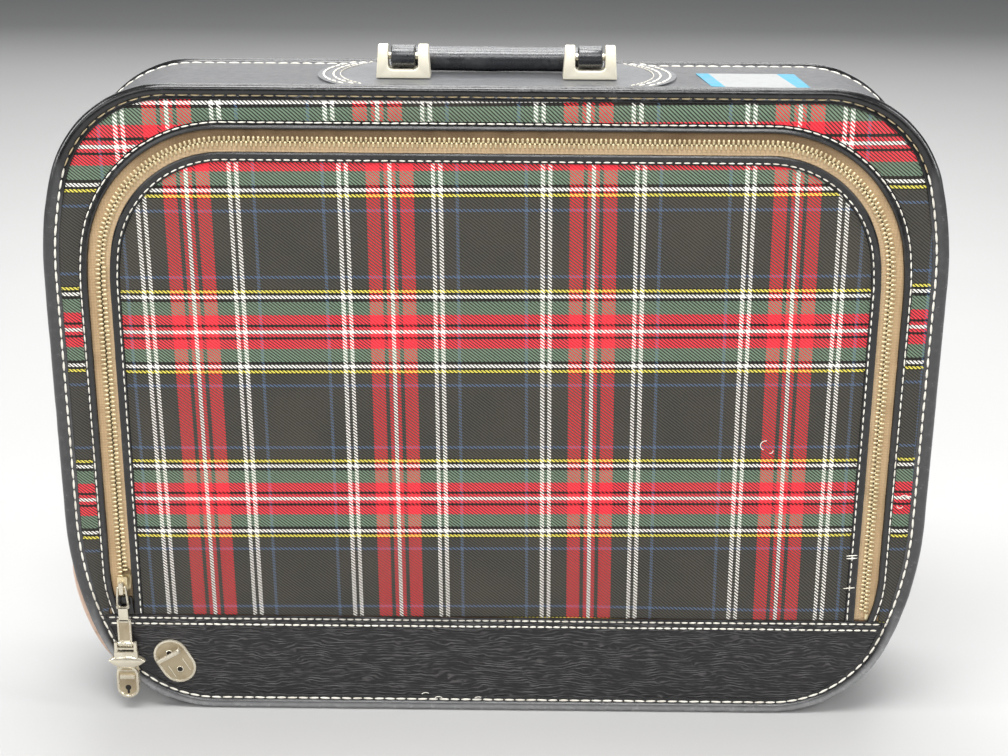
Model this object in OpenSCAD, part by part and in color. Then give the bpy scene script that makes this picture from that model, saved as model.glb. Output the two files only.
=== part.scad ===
// Semi-soft zip suitcase standing on its long side: a covered board gusset between two piped
// panels, a cloth flap that zips round three sides and folds down on its lower edge, a swing
// handle on two cast brackets, and a small lock that hangs from the zip slider.
// X runs along the case, the front faces -Y, and Z is up from the surface it stands on.

/* [Case] */
// Width over the piping
case_w = 456; // [420:1:520]
// Height over the piping, without the handle
case_h = 344; // [320:1:400]
// Depth over the piping
case_d = 88; // [76:1:140]
// Radius of the long soft arc that leads each side into its corners
soft_r = 190; // [170:1:210]
// Radius of the tight arc of the top corners
top_r = 63; // [56:1:76]
// Radius of the tight arc of the bottom corners
bottom_r = 67; // [58:1:80]
// Part of a top corner's turn that the soft arc takes, in degrees
top_soft_deg = 16; // [10:1:20]
// Part of a bottom corner's turn that the soft arc takes, in degrees
bottom_soft_deg = 22; // [14:1:24]

/* [Walls] */
// Diameter of the piping
piping_d = 6; // [5:0.5:7]
// Distance from the piping's outer line in to the gusset cover
cover_inset = 1.6; // [1:0.1:2.2]
// Thickness of the vinyl gusset cover
cover_t = 1; // [0.6:0.1:1.4]
// Thickness of the gusset board
board_t = 3.7; // [3.2:0.1:5]
// Thickness of the inner lining
lining_t = 0.5; // [0.3:0.1:0.8]
// Distance from the piping's front to the face of the panels
skin_set = 1; // [0.9:0.1:1.4]
// Thickness of the cloth and vinyl panel skins
skin_t = 1.5; // [1.2:0.1:1.8]
// Thickness of the front frame and the back board behind the skin's rebate
frame_t = 3.5; // [3.2:0.1:5]
// Height of the vinyl strip under the flap
strip_h = 56.5; // [50:0.5:70]

/* [Zip] */
// Radius of the tight arc that the zip's top corners are set in from
zip_corner_r = 93; // [80:1:100]
// Part of a zip corner's turn that the soft arc takes, in degrees
zip_soft_deg = 8; // [6:1:16]
// Distance from the piping's outer line in to the middle of the zip
zip_inset = 28.3; // [26:0.1:34]
// Width of one toothed edge
teeth_w = 2; // [1.6:0.1:2.4]
// Thickness of the toothed edges
teeth_t = 2.6; // [2.4:0.1:3]
// Gap between the two toothed edges, where the slider's post runs
teeth_gap = 1.2; // [1:0.1:1.6]
// Thickness of the zip tape
tape_t = 1; // [0.6:0.1:1.2]
// Width of the outer zip tape from the toothed edge into the frame
tape_outer_w = 12; // [9:0.5:14]
// Width of the inner zip tape from the toothed edge into the flap
tape_inner_w = 9; // [8:0.5:12]
// Width of the outer vinyl binding
binding_outer_w = 5.4; // [4:0.1:7]
// Width of the inner vinyl binding
binding_inner_w = 4.6; // [4:0.1:6]
// Distance from the toothed edges out to the bindings
binding_gap = 2.9; // [2.6:0.1:4]
// How far the bindings stand in front of the panel skins
binding_proud = 0.3; // [0.1:0.1:0.6]
// Length of the zip's end stops
stop_l = 4; // [3:0.5:6]

/* [Flap] */
// Thickness of the flap board behind the skin's rebate
flap_board_t = 2.5; // [2:0.1:3.5]
// Gap along the fold between the strip and the flap
fold_gap = 0.4; // [0.4:0.1:1]
// Height of the cloth tape inside the fold
fold_tape_h = 15; // [10:1:25]

/* [Slider and pull] */
// Height of the slider's middle above the strip
slider_up = 17.5; // [16:0.5:24]
// Length of the slider
slider_l = 10; // [9:0.5:12]
// Thickness of the slider's plates and flanges
slider_t = 1; // [0.8:0.1:1.2]
// Radius of the bar that the pull hangs on
pull_bar_r = 0.9; // [0.7:0.1:1.1]
// Distance from the panel skins out to the axis that the pull and lock hang on
hang_out = 3; // [2.9:0.1:3.6]
// Thickness of the pull
pull_t = 1.6; // [1.2:0.1:1.8]
// Length of the pull's wire loop
loop_l = 12.5; // [10:0.5:16]
// Width of the pull's wire loop at its lower end
loop_w = 7.4; // [6.6:0.1:9]
// Length of the pull's neck
neck_l = 7; // [5:0.5:9]
// Width of the pull's plate
pull_w = 7.6; // [6.5:0.1:9]
// Length of the pull's plate
plate_l = 12.4; // [10:0.2:16]

/* [Lock] */
// Radius of the lock's hanging bar
lock_bar_r = 0.8; // [0.6:0.1:1]
// Radius of the eye at the pull's lower end
eye_r = 1.6; // [1.4:0.1:1.8]
// Width of the lock's frame
lock_frame_w = 13; // [12.4:0.2:15]
// Height of the lock's frame below its bar
lock_frame_h = 7; // [6:0.5:9]
// Width of the lock over its wings
wing_w = 20; // [18:0.5:24]
// Height of the wings
wing_h = 8.5; // [7:0.5:10]
// Width of the lock's tongue
tongue_w = 12; // [11:0.2:13]
// Length of the lock's tongue below the wings' middle
tongue_l = 22; // [20:0.5:26]
// Thickness of the lock's body
lock_t = 3.2; // [3:0.1:3.6]
// Thickness of the lock's front wall and back plate
lock_wall = 0.7; // [0.5:0.1:0.8]
// Radius of the keyhole
keyhole_r = 1.3; // [1:0.1:1.6]
// Width of the spring catch on the tongue
catch_w = 8; // [6:0.2:8.6]
// Height of the spring catch
catch_h = 2.4; // [2:0.1:3]
// How far the catch stands out of the tongue, which is also its travel
catch_out = 0.9; // [0.6:0.1:1]

/* [Catch plate] */
// Distance of the catch plate in from the side of the case
hasp_in = 54; // [50:1:63]
// Height of the catch plate's middle
hasp_z = 29; // [27:0.5:32]
// Tilt of the catch plate
hasp_tilt = 30; // [20:1:40]
// Width of the catch plate
hasp_w = 19; // [17:0.5:22]
// Length of the catch plate
hasp_l = 27; // [25:0.5:32]
// Thickness of the catch plate
hasp_t = 1.2; // [0.8:0.1:1.4]
// Distance between the catch plate's rivets
hasp_rivet_pitch = 11; // [9:0.5:13]
// Outer radius of the tubular rivets
hasp_rivet_r = 1.4; // [1.2:0.1:1.8]
// Width of the staple's strap
staple_w = 2.4; // [2:0.1:3]
// Thickness of the staple's strap
staple_t = 1; // [0.8:0.1:1.2]
// Height of the staple above the middle of its plate, along the plate
staple_up = 5.5; // [4:0.5:6.5]

/* [Handle] */
// Distance of each bracket from the middle of the case
bracket_x = 46.5; // [44:0.5:60]
// Distance of the brackets from the middle of the depth, towards the front
bracket_front = 14.5; // [10:0.5:18]
// Width of a bracket at its foot
bracket_w = 27; // [26:0.5:32]
// Width of a bracket at its top
bracket_top_w = 25; // [24:0.5:28]
// Height of a bracket
bracket_h = 16.5; // [16:0.5:20]
// Depth of a bracket from front to back
bracket_d = 11; // [9:0.5:12]
// Clear width between a bracket's ears
bracket_gap = 15; // [14:0.5:16]
// Height of the bar between a bracket's ears
bracket_bar_h = 4.4; // [3.5:0.1:4.6]
// Height of the pin above the bracket's foot
pin_h = 10.6; // [10.4:0.1:12]
// Radius of the handle pins
pin_r = 1.75; // [1.5:0.05:2]
// Distance from the pins back to the middle of the grip
grip_back = 19.5; // [18:0.5:24]
// Depth of the grip from front to back
grip_d = 14; // [13.5:0.5:15]
// Thickness of the grip
grip_t = 12.5; // [11:0.5:13]
// Length of the grip
grip_l = 108; // [107:1:112]
// Width of the handle's end knuckles
knuckle_w = 13; // [12:0.5:13.5]
// Radius of the handle's end knuckles
knuckle_r = 5.6; // [5:0.1:5.7]
// Thickness of the arms that join the knuckles to the grip
arm_t = 6; // [5:0.5:6.4]
// Thickness of the steel core
core_t = 2.4; // [2:0.1:3]
// Width of the steel core
core_w = 9; // [7:0.5:10]
// Radius of the core's eyes
core_eye_r = 3.4; // [3:0.1:3.8]
// Length of the vinyl patch under the brackets
patch_l = 182; // [176:1:200]
// How far the patch's ends bow outwards
patch_bow = 16; // [10:1:20]
// Thickness of the patch
patch_t = 1; // [0.6:0.1:1.2]
// Thickness of the steel plate inside the top
backplate_t = 2; // [1.5:0.1:3]
// Radius of the bracket rivets
rivet_r = 2; // [1.5:0.1:2.2]
// Depth of the rivets in the brackets
rivet_in = 6; // [5:0.5:7]

/* [Clearances] */
// Gap between pieces that are glued or sewn together
fit = 0.05; // [0.02:0.01:0.1]
// Gap between pieces that slide past each other
slide_gap = 0.3; // [0.25:0.05:0.3]
// Radial clearance of a turning pin
turn_gap = 0.06; // [0.03:0.01:0.09]

/* [Hidden] */
$fn = 96;
// Room added where one shape cuts right through another
through = 1;
vinyl = [0.07, 0.07, 0.08];
tartan = [0.5, 0.12, 0.14];
board = [0.5, 0.4, 0.28];
lining = [0.62, 0.55, 0.45];
tape = [0.55, 0.45, 0.3];
brass = [0.72, 0.6, 0.34];
nickel = [0.78, 0.75, 0.68];
cream = [0.86, 0.83, 0.72];

// Depths behind the piping's front
half_w = case_w/2;
front_y = -case_d/2;
skin_y = front_y + skin_set;
tape_y = skin_y + skin_t;
frame_y = tape_y + tape_t;
frame_back_y = frame_y + frame_t;
back_board_y = case_d/2 - skin_set - skin_t - tape_t - frame_t;
gusset_y = front_y + piping_d + fit;
gusset_d = case_d - 2*(piping_d + fit);

// Distances in from the piping's outer line
mouth_set = 0.5;
board_in = cover_inset + cover_t;
frame_in = board_in + board_t + fit;
skin_in = piping_d + fit;
lining_in = frame_in + lining_t;
outer_teeth_in = zip_inset - teeth_gap/2 - teeth_w;
inner_teeth_in = zip_inset + teeth_gap/2;
outer_binding_in = outer_teeth_in - binding_gap - binding_outer_w;
frame_mouth_in = outer_teeth_in - binding_gap - mouth_set;
tape_outer_in = outer_teeth_in - tape_outer_w;
inner_tape_in = inner_teeth_in + teeth_w;
inner_binding_in = inner_tape_in + binding_gap;
flap_cover_in = inner_binding_in + binding_inner_w;
tape_inner_end = inner_tape_in + tape_inner_w;
zip_x = half_w - zip_inset;
teeth_y = tape_y + tape_t/2 - teeth_t/2;
binding_y = skin_y - binding_proud;
flap_z = strip_h + fold_gap;

// Slider, pull and lock
slider_z = strip_h + slider_up;
slider_half_w = teeth_gap/2 + teeth_w + slide_gap + slider_t;
slider_front_y = teeth_y - slide_gap - slider_t;
slider_back_y = teeth_y + teeth_t + slide_gap;
post_w = teeth_gap - 2*slide_gap;
post_l = 3;
bridge_w = 2.4;
bridge_l = 7;
bridge_wall = 0.9;
hang_y = skin_y - hang_out;
loop_wire = 1.1;
loop_room = 0.25;
loop_inner = bridge_w + 2*loop_room;
neck_w = 5.3;
room_over = 2;
lock_z = slider_z - loop_l - neck_l - plate_l - eye_r;
lock_back_y = hang_y + lock_t/2;
lock_front_y = hang_y - lock_t/2;
wing_lap = 0.7;
wing_z = lock_z - lock_frame_h - wing_h/2 + wing_lap;
wing_out = 1.2;
tongue_end_z = wing_z - tongue_l;
keyhole_up = 6.2;
keyhole_z = tongue_end_z + keyhole_up;
keyhole_slot_w = 1.2;
keyhole_slot_l = 3.1;
catch_up = 13.2;
catch_z = tongue_end_z + catch_up;
catch_flange = 0.7;
catch_flange_t = 0.6;

// Catch plate
hasp_x = half_w - hasp_in;
staple_rise = lock_t + 2*slide_gap + staple_t;
staple_in = tongue_w + 2*slide_gap;
hasp_bore_r = 0.85;

// Handle
top_z = case_h - cover_inset;
foot_z = top_z + patch_t;
pin_z = foot_z + pin_h;
pin_y = -bracket_front;
grip_drop = pin_h - grip_t/2 - slide_gap;
arm_l = sqrt(grip_back*grip_back + grip_drop*grip_drop);
arm_deg = atan2(-grip_drop, grip_back);
backplate_d = 34;
backplate_over = 6;
backplate_l = 2*(bracket_x + backplate_over) + bracket_w;
backplate_z = case_h - lining_in - fit - backplate_t;
rivet_head_r = 3.5;
rivet_head_t = 1.4;
ear_w = (bracket_w - bracket_gap)/2;
rivet_x = bracket_gap/2 + ear_w/2;
eye_set = 0.5;

// Middle of a corner's soft arc, and of its tight arc, measured up from the panel's edge.
// The arcs cross by arc_lap, so that they meet in one clean point.
arc_lap = 0.05;
function soft_mid(r, a) = [half_w - soft_r, soft_r*sin(a) + r*(1 - sin(a))];
function tight_mid(r, a) = [half_w - soft_r*(1 - cos(a)) - r*cos(a) + arc_lap, r];

// Points of the piping's middle line, anticlockwise from the middle of the lower edge
soft_steps = 4;
tight_steps = 10;
function arc(mid, r, a0, a1, n) =
    [for (i = [0:n]) mid + r*[cos(a0 + (a1 - a0)*i/n), sin(a0 + (a1 - a0)*i/n)]];
function corner_line(r, a, inset) = concat(
    arc(tight_mid(r, a), r - inset, -90, -a, tight_steps),
    [for (i = [1:soft_steps]) arc(soft_mid(r, a), soft_r - inset, -a, 0, soft_steps)[i]]);
function flipped(points, sx, sz, up) =
    [for (i = [len(points) - 1:-1:0]) [sx*points[i][0], up + sz*points[i][1]]];
function turned(points, up) = [for (p = points) [-p[0], up - p[1]]];
function ring_line(inset) = concat(
    corner_line(bottom_r, bottom_soft_deg, inset),
    flipped(corner_line(top_r, top_soft_deg, inset), 1, -1, case_h),
    turned(corner_line(top_r, top_soft_deg, inset), case_h),
    flipped(corner_line(bottom_r, bottom_soft_deg, inset), -1, 1, 0));

// A slab with its outline drawn in X and Z, from depth y back by t
module upright(y, t) {
    translate([0, y + t, 0]) rotate([90, 0, 0]) linear_extrude(t) children();
}

// A slab with its outline drawn in Y and Z, centred on x
module across(x, w) {
    translate([x - w/2, 0, 0]) rotate([90, 0, 90]) linear_extrude(w) children();
}

module both_sides() {
    children();
    mirror([1, 0, 0]) children();
}

module sector(mid, r, a0, a1) {
    am = (a0 + a1)/2;
    far = 2*r;
    translate(mid) intersection() {
        circle(r);
        polygon([[0, 0], for (a = [a0, am, a1]) far*[cos(a), sin(a)]]);
    }
}

// One corner of the panel outline, set in by inset, with the flat stretch up to reach
module corner(r, a, inset, reach) {
    s = soft_mid(r, a);
    t = tight_mid(r, a);
    over_deg = 12;
    sector(s, soft_r - inset, -a, 0);
    sector(t, r - inset, -90, over_deg - a);
    polygon([[0, inset], [t[0], inset], t + (r - inset)/2*[cos(a + over_deg), -sin(a + over_deg)],
             s + [soft_r - inset, 0], [half_w - inset, reach], [0, reach]]);
}

// The whole panel outline, set in by inset
module outline(inset) {
    both_sides() {
        corner(bottom_r, bottom_soft_deg, inset, case_h/2);
        translate([0, case_h]) mirror([0, 1]) corner(top_r, top_soft_deg, inset, case_h/2);
    }
}

// The zip's own rounder upper half, set in by inset, with straight sides down to the height z
module arch(inset, z) {
    both_sides()
        translate([0, case_h]) mirror([0, 1]) corner(zip_corner_r, zip_soft_deg, inset, case_h - z);
}

module above(z) {
    translate([-case_w, z]) square([2*case_w, case_h]);
}

module gusset_ring(inset, t) {
    difference() {
        outline(inset);
        outline(inset + t);
    }
}

// A round welt swept along the panel's outline
module welt(y) {
    sides = 10;
    r = piping_d/2;
    line = ring_line(r);
    n = len(line);
    points = [for (i = [0:n - 1])
        let (d = line[(i + 1)%n] - line[(i + n - 1)%n], out = [d[1], -d[0]]/norm(d))
        for (k = [0:sides - 1])
            let (a = 360*k/sides, p = line[i] + r*cos(a)*out) [p[0], y + r + r*sin(a), p[1]]];
    faces = [for (i = [0:n - 1], k = [0:sides - 1])
        let (j = (i + 1)%n, m = (k + 1)%sides)
        [i*sides + k, i*sides + m, j*sides + m, j*sides + k]];
    polyhedron(points, faces);
}

module bracket_holes(gap) {
    for (side = [-1, 1], ear = [-1, 1])
        translate([side*bracket_x + ear*rivet_x, pin_y, backplate_z - through])
            cylinder(r = rivet_r + gap, h = foot_z + rivet_in + gap - backplate_z + through);
}

module hasp_place(y) {
    translate([-hasp_x, y, hasp_z]) rotate([0, -hasp_tilt, 0]) children();
}

module hasp_holes() {
    hasp_place(front_y - through) for (end = [-1, 1])
        translate([0, 0, end*hasp_rivet_pitch/2]) rotate([-90, 0, 0])
            cylinder(r = hasp_rivet_r + fit, h = frame_back_y - front_y + 2*through);
}

// Butt joints that part the gusset board into four flats and four bent corners
module board_joints() {
    joint_set = 2;
    both_sides() {
        translate([tight_mid(bottom_r, bottom_soft_deg)[0] - joint_set, 0]) square([fit, case_h/2]);
        translate([tight_mid(top_r, top_soft_deg)[0] - joint_set, case_h/2]) square([fit, case_h/2]);
        translate([half_w/2, soft_mid(bottom_r, bottom_soft_deg)[1] + joint_set]) square([half_w, fit]);
        translate([half_w/2, case_h - soft_mid(top_r, top_soft_deg)[1] - joint_set]) square([half_w, fit]);
    }
}

module gusset_board() {
    color(board) difference() {
        upright(gusset_y, gusset_d) difference() {
            gusset_ring(board_in, board_t);
            board_joints();
        }
        bracket_holes(fit);
    }
}

module gusset_cover() {
    color(vinyl) difference() {
        upright(gusset_y, gusset_d) gusset_ring(cover_inset, cover_t);
        bracket_holes(fit);
    }
}

module gusset_lining() {
    color(lining) difference() {
        upright(frame_back_y, back_board_y - frame_back_y) gusset_ring(frame_in, lining_t);
        bracket_holes(fit);
    }
}

module back_board() {
    color(board) upright(back_board_y, tape_t + frame_t) outline(frame_in);
}

module back_cover() {
    color(tartan) upright(back_board_y + tape_t + frame_t, skin_t) outline(skin_in);
}

module back_lining() {
    color(lining) upright(back_board_y - lining_t, lining_t) outline(lining_in + fit);
}

module front_frame() {
    color(board) difference() {
        upright(tape_y, tape_t + frame_t) difference() {
            outline(frame_in);
            arch(frame_mouth_in, strip_h);
        }
        upright(tape_y - through, tape_t + through) arch(tape_outer_in, strip_h);
        hasp_holes();
    }
}

module front_border() {
    color(tartan) upright(skin_y, skin_t) intersection() {
        difference() {
            outline(skin_in);
            arch(outer_binding_in, 0);
        }
        above(strip_h);
    }
}

module front_strip() {
    color(vinyl) difference() {
        upright(skin_y, skin_t) difference() {
            outline(skin_in);
            above(strip_h - fit);
        }
        hasp_holes();
    }
}

module front_piping() {
    color(vinyl) welt(front_y);
}

module back_piping() {
    color(vinyl) welt(case_d/2 - piping_d);
}

module zip_tape_outer() {
    color(tape) upright(tape_y, tape_t) difference() {
        intersection() {
            outline(frame_in + fit);
            arch(tape_outer_in + fit, strip_h);
        }
        arch(outer_teeth_in - fit, strip_h - through);
    }
}

module zip_teeth_outer() {
    color(brass) upright(teeth_y, teeth_t) difference() {
        arch(outer_teeth_in, strip_h + fold_gap + stop_l);
        arch(outer_teeth_in + teeth_w, strip_h);
    }
}

module zip_binding_outer() {
    color(vinyl) upright(binding_y, tape_y - binding_y) difference() {
        arch(outer_binding_in + fit, strip_h);
        arch(outer_binding_in + binding_outer_w, strip_h - through);
    }
}

// Brass stops that end the toothed edge on the frame's side
module zip_end_stops() {
    color(brass) upright(teeth_y, teeth_t) both_sides()
        translate([zip_x + teeth_gap/2, strip_h + fold_gap - fit]) square([teeth_w, stop_l]);
}

module fold_tape() {
    color(tape) upright(frame_back_y, lining_t) translate([-zip_x, strip_h - fold_tape_h])
        square([2*zip_x, fold_tape_h - fold_gap]);
}

module handle_patch() {
    span = gusset_d - 2*slide_gap;
    end_r = (span*span/4 + patch_bow*patch_bow)/(2*patch_bow);
    end_x = patch_l/2 - end_r;
    color(vinyl) difference() {
        translate([0, 0, top_z]) linear_extrude(patch_t) intersection() {
            square([patch_l, span], center = true);
            union() {
                square([2*(patch_l/2 - patch_bow), span], center = true);
                both_sides() translate([end_x, 0]) circle(end_r);
            }
        }
        bracket_holes(fit);
    }
}

module handle_backplate() {
    color(nickel) difference() {
        translate([-backplate_l/2, pin_y - backplate_d/2, backplate_z])
            cube([backplate_l, backplate_d, backplate_t]);
        bracket_holes(fit);
    }
}

// Two ears on a low bar, cast in one piece, rounded over and bored for the handle pin
module bracket() {
    half = bracket_w/2;
    top = bracket_top_w/2;
    gap = bracket_gap/2;
    difference() {
        intersection() {
            upright(pin_y - bracket_d/2, bracket_d) translate([0, foot_z])
                polygon([[-half, 0], [half, 0], [top, bracket_h], [gap, bracket_h], [gap, bracket_bar_h],
                         [-gap, bracket_bar_h], [-gap, bracket_h], [-top, bracket_h]]);
            across(0, 2*bracket_w) translate([pin_y, foot_z]) {
                translate([0, pin_h]) circle(bracket_h - pin_h);
                translate([-bracket_d/2, 0]) square([bracket_d, pin_h]);
            }
        }
        translate([-bracket_w, pin_y, pin_z]) rotate([0, 90, 0])
            cylinder(r = pin_r + fit/2, h = 2*bracket_w);
        translate([bracket_x, 0, 0]) bracket_holes(fit);
    }
}

module handle_bracket_left() {
    color(cream) translate([-bracket_x, 0, 0]) bracket();
}

module handle_bracket_right() {
    color(cream) translate([bracket_x, 0, 0]) bracket();
}

module handle_pin(x) {
    color(nickel) translate([x - bracket_top_w/2, pin_y, pin_z]) rotate([0, 90, 0])
        cylinder(r = pin_r, h = bracket_top_w);
}

module handle_pin_left() {
    handle_pin(-bracket_x);
}

module handle_pin_right() {
    handle_pin(bracket_x);
}

module bracket_rivets() {
    color(nickel) for (side = [-1, 1], ear = [-1, 1])
        translate([side*bracket_x + ear*rivet_x, pin_y, backplate_z - rivet_head_t]) {
            cylinder(r = rivet_r, h = foot_z + rivet_in - backplate_z + rivet_head_t);
            cylinder(r = rivet_head_r, h = rivet_head_t);
        }
}

module catch_plate() {
    end_r = hasp_w/2;
    color(nickel) difference() {
        hasp_place(0) upright(skin_y - hasp_t, hasp_t) {
            square([hasp_w, hasp_l - hasp_w], center = true);
            for (end = [-1, 1]) translate([0, end*(hasp_l/2 - end_r)]) circle(end_r);
        }
        hasp_holes();
    }
}

// A flat strap bent into a bridge over the catch plate
module catch_staple() {
    wide = staple_in + 2*staple_t;
    color(nickel) hasp_place(skin_y - hasp_t) difference() {
        translate([-wide/2, -staple_rise, staple_up - staple_w/2]) cube([wide, staple_rise, staple_w]);
        translate([-staple_in/2, staple_t - staple_rise, staple_up - staple_w])
            cube([staple_in, staple_rise, 2*staple_w]);
    }
}

// Hollow rivets through the catch plate, the strip and the frame
module catch_rivets() {
    length = frame_back_y - skin_y + hasp_t;
    color(nickel) hasp_place(skin_y - hasp_t) for (end = [-1, 1])
        translate([0, 0, end*hasp_rivet_pitch/2]) rotate([-90, 0, 0]) difference() {
            union() {
                cylinder(r = hasp_rivet_r, h = length + lining_t);
                translate([0, 0, length]) cylinder(r = 2*hasp_rivet_r, h = lining_t);
            }
            translate([0, 0, -through]) cylinder(r = hasp_bore_r, h = length + 2*through);
        }
}

module flap_board() {
    color(board) upright(tape_y, tape_t + flap_board_t) arch(tape_inner_end, flap_z);
    color(board) upright(frame_y, flap_board_t) difference() {
        arch(inner_binding_in, flap_z);
        arch(tape_inner_end, 0);
    }
}

module flap_cover() {
    color(tartan) upright(skin_y, skin_t) arch(flap_cover_in + fit, flap_z);
}

module flap_lining() {
    color(lining) upright(frame_y + flap_board_t, lining_t) arch(inner_binding_in + fit, flap_z);
}

// Room beside the slider that the flap's edge leaves free so that it can fold down
module slider_room() {
    translate([-case_w, 0]) square([case_w - zip_x + slider_half_w + slide_gap,
                                    slider_z + slider_l/2 + room_over]);
}

module zip_tape_inner() {
    color(tape) upright(tape_y, tape_t) difference() {
        arch(inner_tape_in, flap_z);
        arch(tape_inner_end - fit, 0);
        slider_room();
    }
}

module zip_teeth_inner() {
    color(brass) upright(teeth_y, teeth_t) difference() {
        arch(inner_teeth_in, flap_z + stop_l);
        arch(inner_tape_in, 0);
        slider_room();
    }
}

module zip_binding_inner() {
    color(vinyl) upright(binding_y, tape_y - binding_y) difference() {
        arch(inner_binding_in, flap_z);
        arch(flap_cover_in, 0);
    }
}

module handle_place() {
    translate([0, pin_y, pin_z]) children();
}

// The steel core, grown by gap for the room it takes in the grip
module core_shape(gap) {
    handle_place() {
        for (side = [-1, 1]) {
            across(side*bracket_x, core_w + 2*gap) rotate(arm_deg)
                translate([0, -core_t/2 - gap]) square([arm_l + gap, core_t + 2*gap]);
            across(side*bracket_x, knuckle_w - 2*eye_set + 2*gap) circle(core_eye_r + gap);
        }
        across(0, 2*bracket_x + core_w + 2*gap) translate([grip_back, -grip_drop])
            square([core_w + 2*gap, core_t + 2*gap], center = true);
    }
}

module handle_grip() {
    flat = grip_d - grip_t;
    color(vinyl) difference() {
        handle_place() {
            across(0, grip_l) translate([grip_back, -grip_drop]) {
                square([flat, grip_t], center = true);
                for (end = [-1, 1]) translate([end*flat/2, 0]) circle(grip_t/2);
            }
            for (side = [-1, 1]) across(side*bracket_x, knuckle_w) {
                circle(knuckle_r);
                rotate(arm_deg) translate([0, -arm_t/2]) square([arm_l, arm_t]);
            }
        }
        core_shape(fit);
        handle_place() rotate([0, 90, 0]) cylinder(r = pin_r + 2*turn_gap, h = 2*grip_l, center = true);
    }
}

module handle_core() {
    color(nickel) difference() {
        core_shape(0);
        handle_place() rotate([0, 90, 0]) cylinder(r = pin_r + turn_gap, h = 2*grip_l, center = true);
    }
}

module slider_place() {
    translate([-zip_x, 0, slider_z]) children();
}

module slider_plate(y) {
    translate([-slider_half_w, y, -slider_l/2]) cube([2*slider_half_w, slider_t, slider_l]);
}

module slider_flanges(y, t) {
    both_sides() translate([slider_half_w - slider_t, y, -slider_l/2]) cube([slider_t, t, slider_l]);
}

// Two plates on a thin post, flanged round the toothed edges, with a bridge for the pull
module zip_slider() {
    bridge_front = hang_y - pull_bar_r - turn_gap - bridge_wall;
    color(brass) slider_place() {
        slider_plate(slider_front_y);
        slider_plate(slider_back_y);
        slider_flanges(slider_front_y, tape_y - slide_gap - slider_front_y);
        slider_flanges(tape_y + tape_t + slide_gap, slider_back_y + slider_t - tape_y - tape_t - slide_gap);
        translate([-post_w/2, slider_front_y, -slider_l/2])
            cube([post_w, slider_back_y + slider_t - slider_front_y, post_l]);
        difference() {
            translate([-bridge_w/2, bridge_front, -bridge_l/2])
                cube([bridge_w, slider_front_y - bridge_front + slider_t/2, bridge_l]);
            translate([-bridge_w, hang_y, 0]) rotate([0, 90, 0])
                cylinder(r = pull_bar_r + turn_gap, h = 2*bridge_w);
        }
    }
}

// A wire loop, a neck and a plate in one piece, ending in the eye that carries the lock
module pull_link() {
    loop_top = loop_inner/2 + loop_wire;
    loop_foot = loop_w/2;
    plate_z = -loop_l - neck_l;
    color(nickel) slider_place() difference() {
        union() {
            upright(hang_y - pull_t/2, pull_t) difference() {
                union() {
                    polygon([[-loop_top, pull_bar_r], [-loop_foot, -loop_l], [loop_foot, -loop_l],
                             [loop_top, pull_bar_r]]);
                    translate([-neck_w/2, plate_z - loop_wire]) square([neck_w, neck_l + 2*loop_wire]);
                    translate([-pull_w/2, plate_z - plate_l]) square([pull_w, plate_l]);
                }
                polygon([[-loop_inner/2, 2*pull_bar_r], [loop_wire - loop_foot, 2*loop_wire - loop_l],
                         [loop_foot - loop_wire, 2*loop_wire - loop_l], [loop_inner/2, 2*pull_bar_r]]);
            }
            translate([-loop_top + loop_wire/2, hang_y, 0]) rotate([0, 90, 0])
                cylinder(r = pull_bar_r, h = 2*loop_top - loop_wire);
            translate([-pull_w/2, hang_y, plate_z - plate_l - eye_r]) rotate([0, 90, 0])
                cylinder(r = eye_r, h = pull_w);
            translate([-pull_w/2, hang_y - pull_t/2, plate_z - plate_l - eye_r])
                cube([pull_w, pull_t, eye_r + loop_wire]);
        }
        translate([-pull_w, hang_y, plate_z - plate_l - eye_r]) rotate([0, 90, 0])
            cylinder(r = lock_bar_r + turn_gap, h = 2*pull_w);
    }
}

module lock_place(z) {
    translate([-zip_x, 0, z]) children();
}

// The lens shape of the wings, as two crossing arcs
module wings() {
    arc_r = (wing_w*wing_w + wing_h*wing_h)/(4*wing_h);
    translate([0, wing_z]) intersection() {
        translate([0, arc_r - wing_h/2]) circle(arc_r);
        translate([0, wing_h/2 - arc_r]) circle(arc_r);
    }
}

module tongue(inset) {
    r = tongue_w/2 - inset;
    end_z = tongue_end_z + tongue_w/2;
    translate([0, end_z]) circle(r);
    translate([-r, end_z]) square([2*r, wing_z - end_z]);
}

module catch_window(gap) {
    translate([-catch_w/2 - gap, catch_z - catch_h/2 - gap]) square([catch_w + 2*gap, catch_h + 2*gap]);
}

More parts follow.
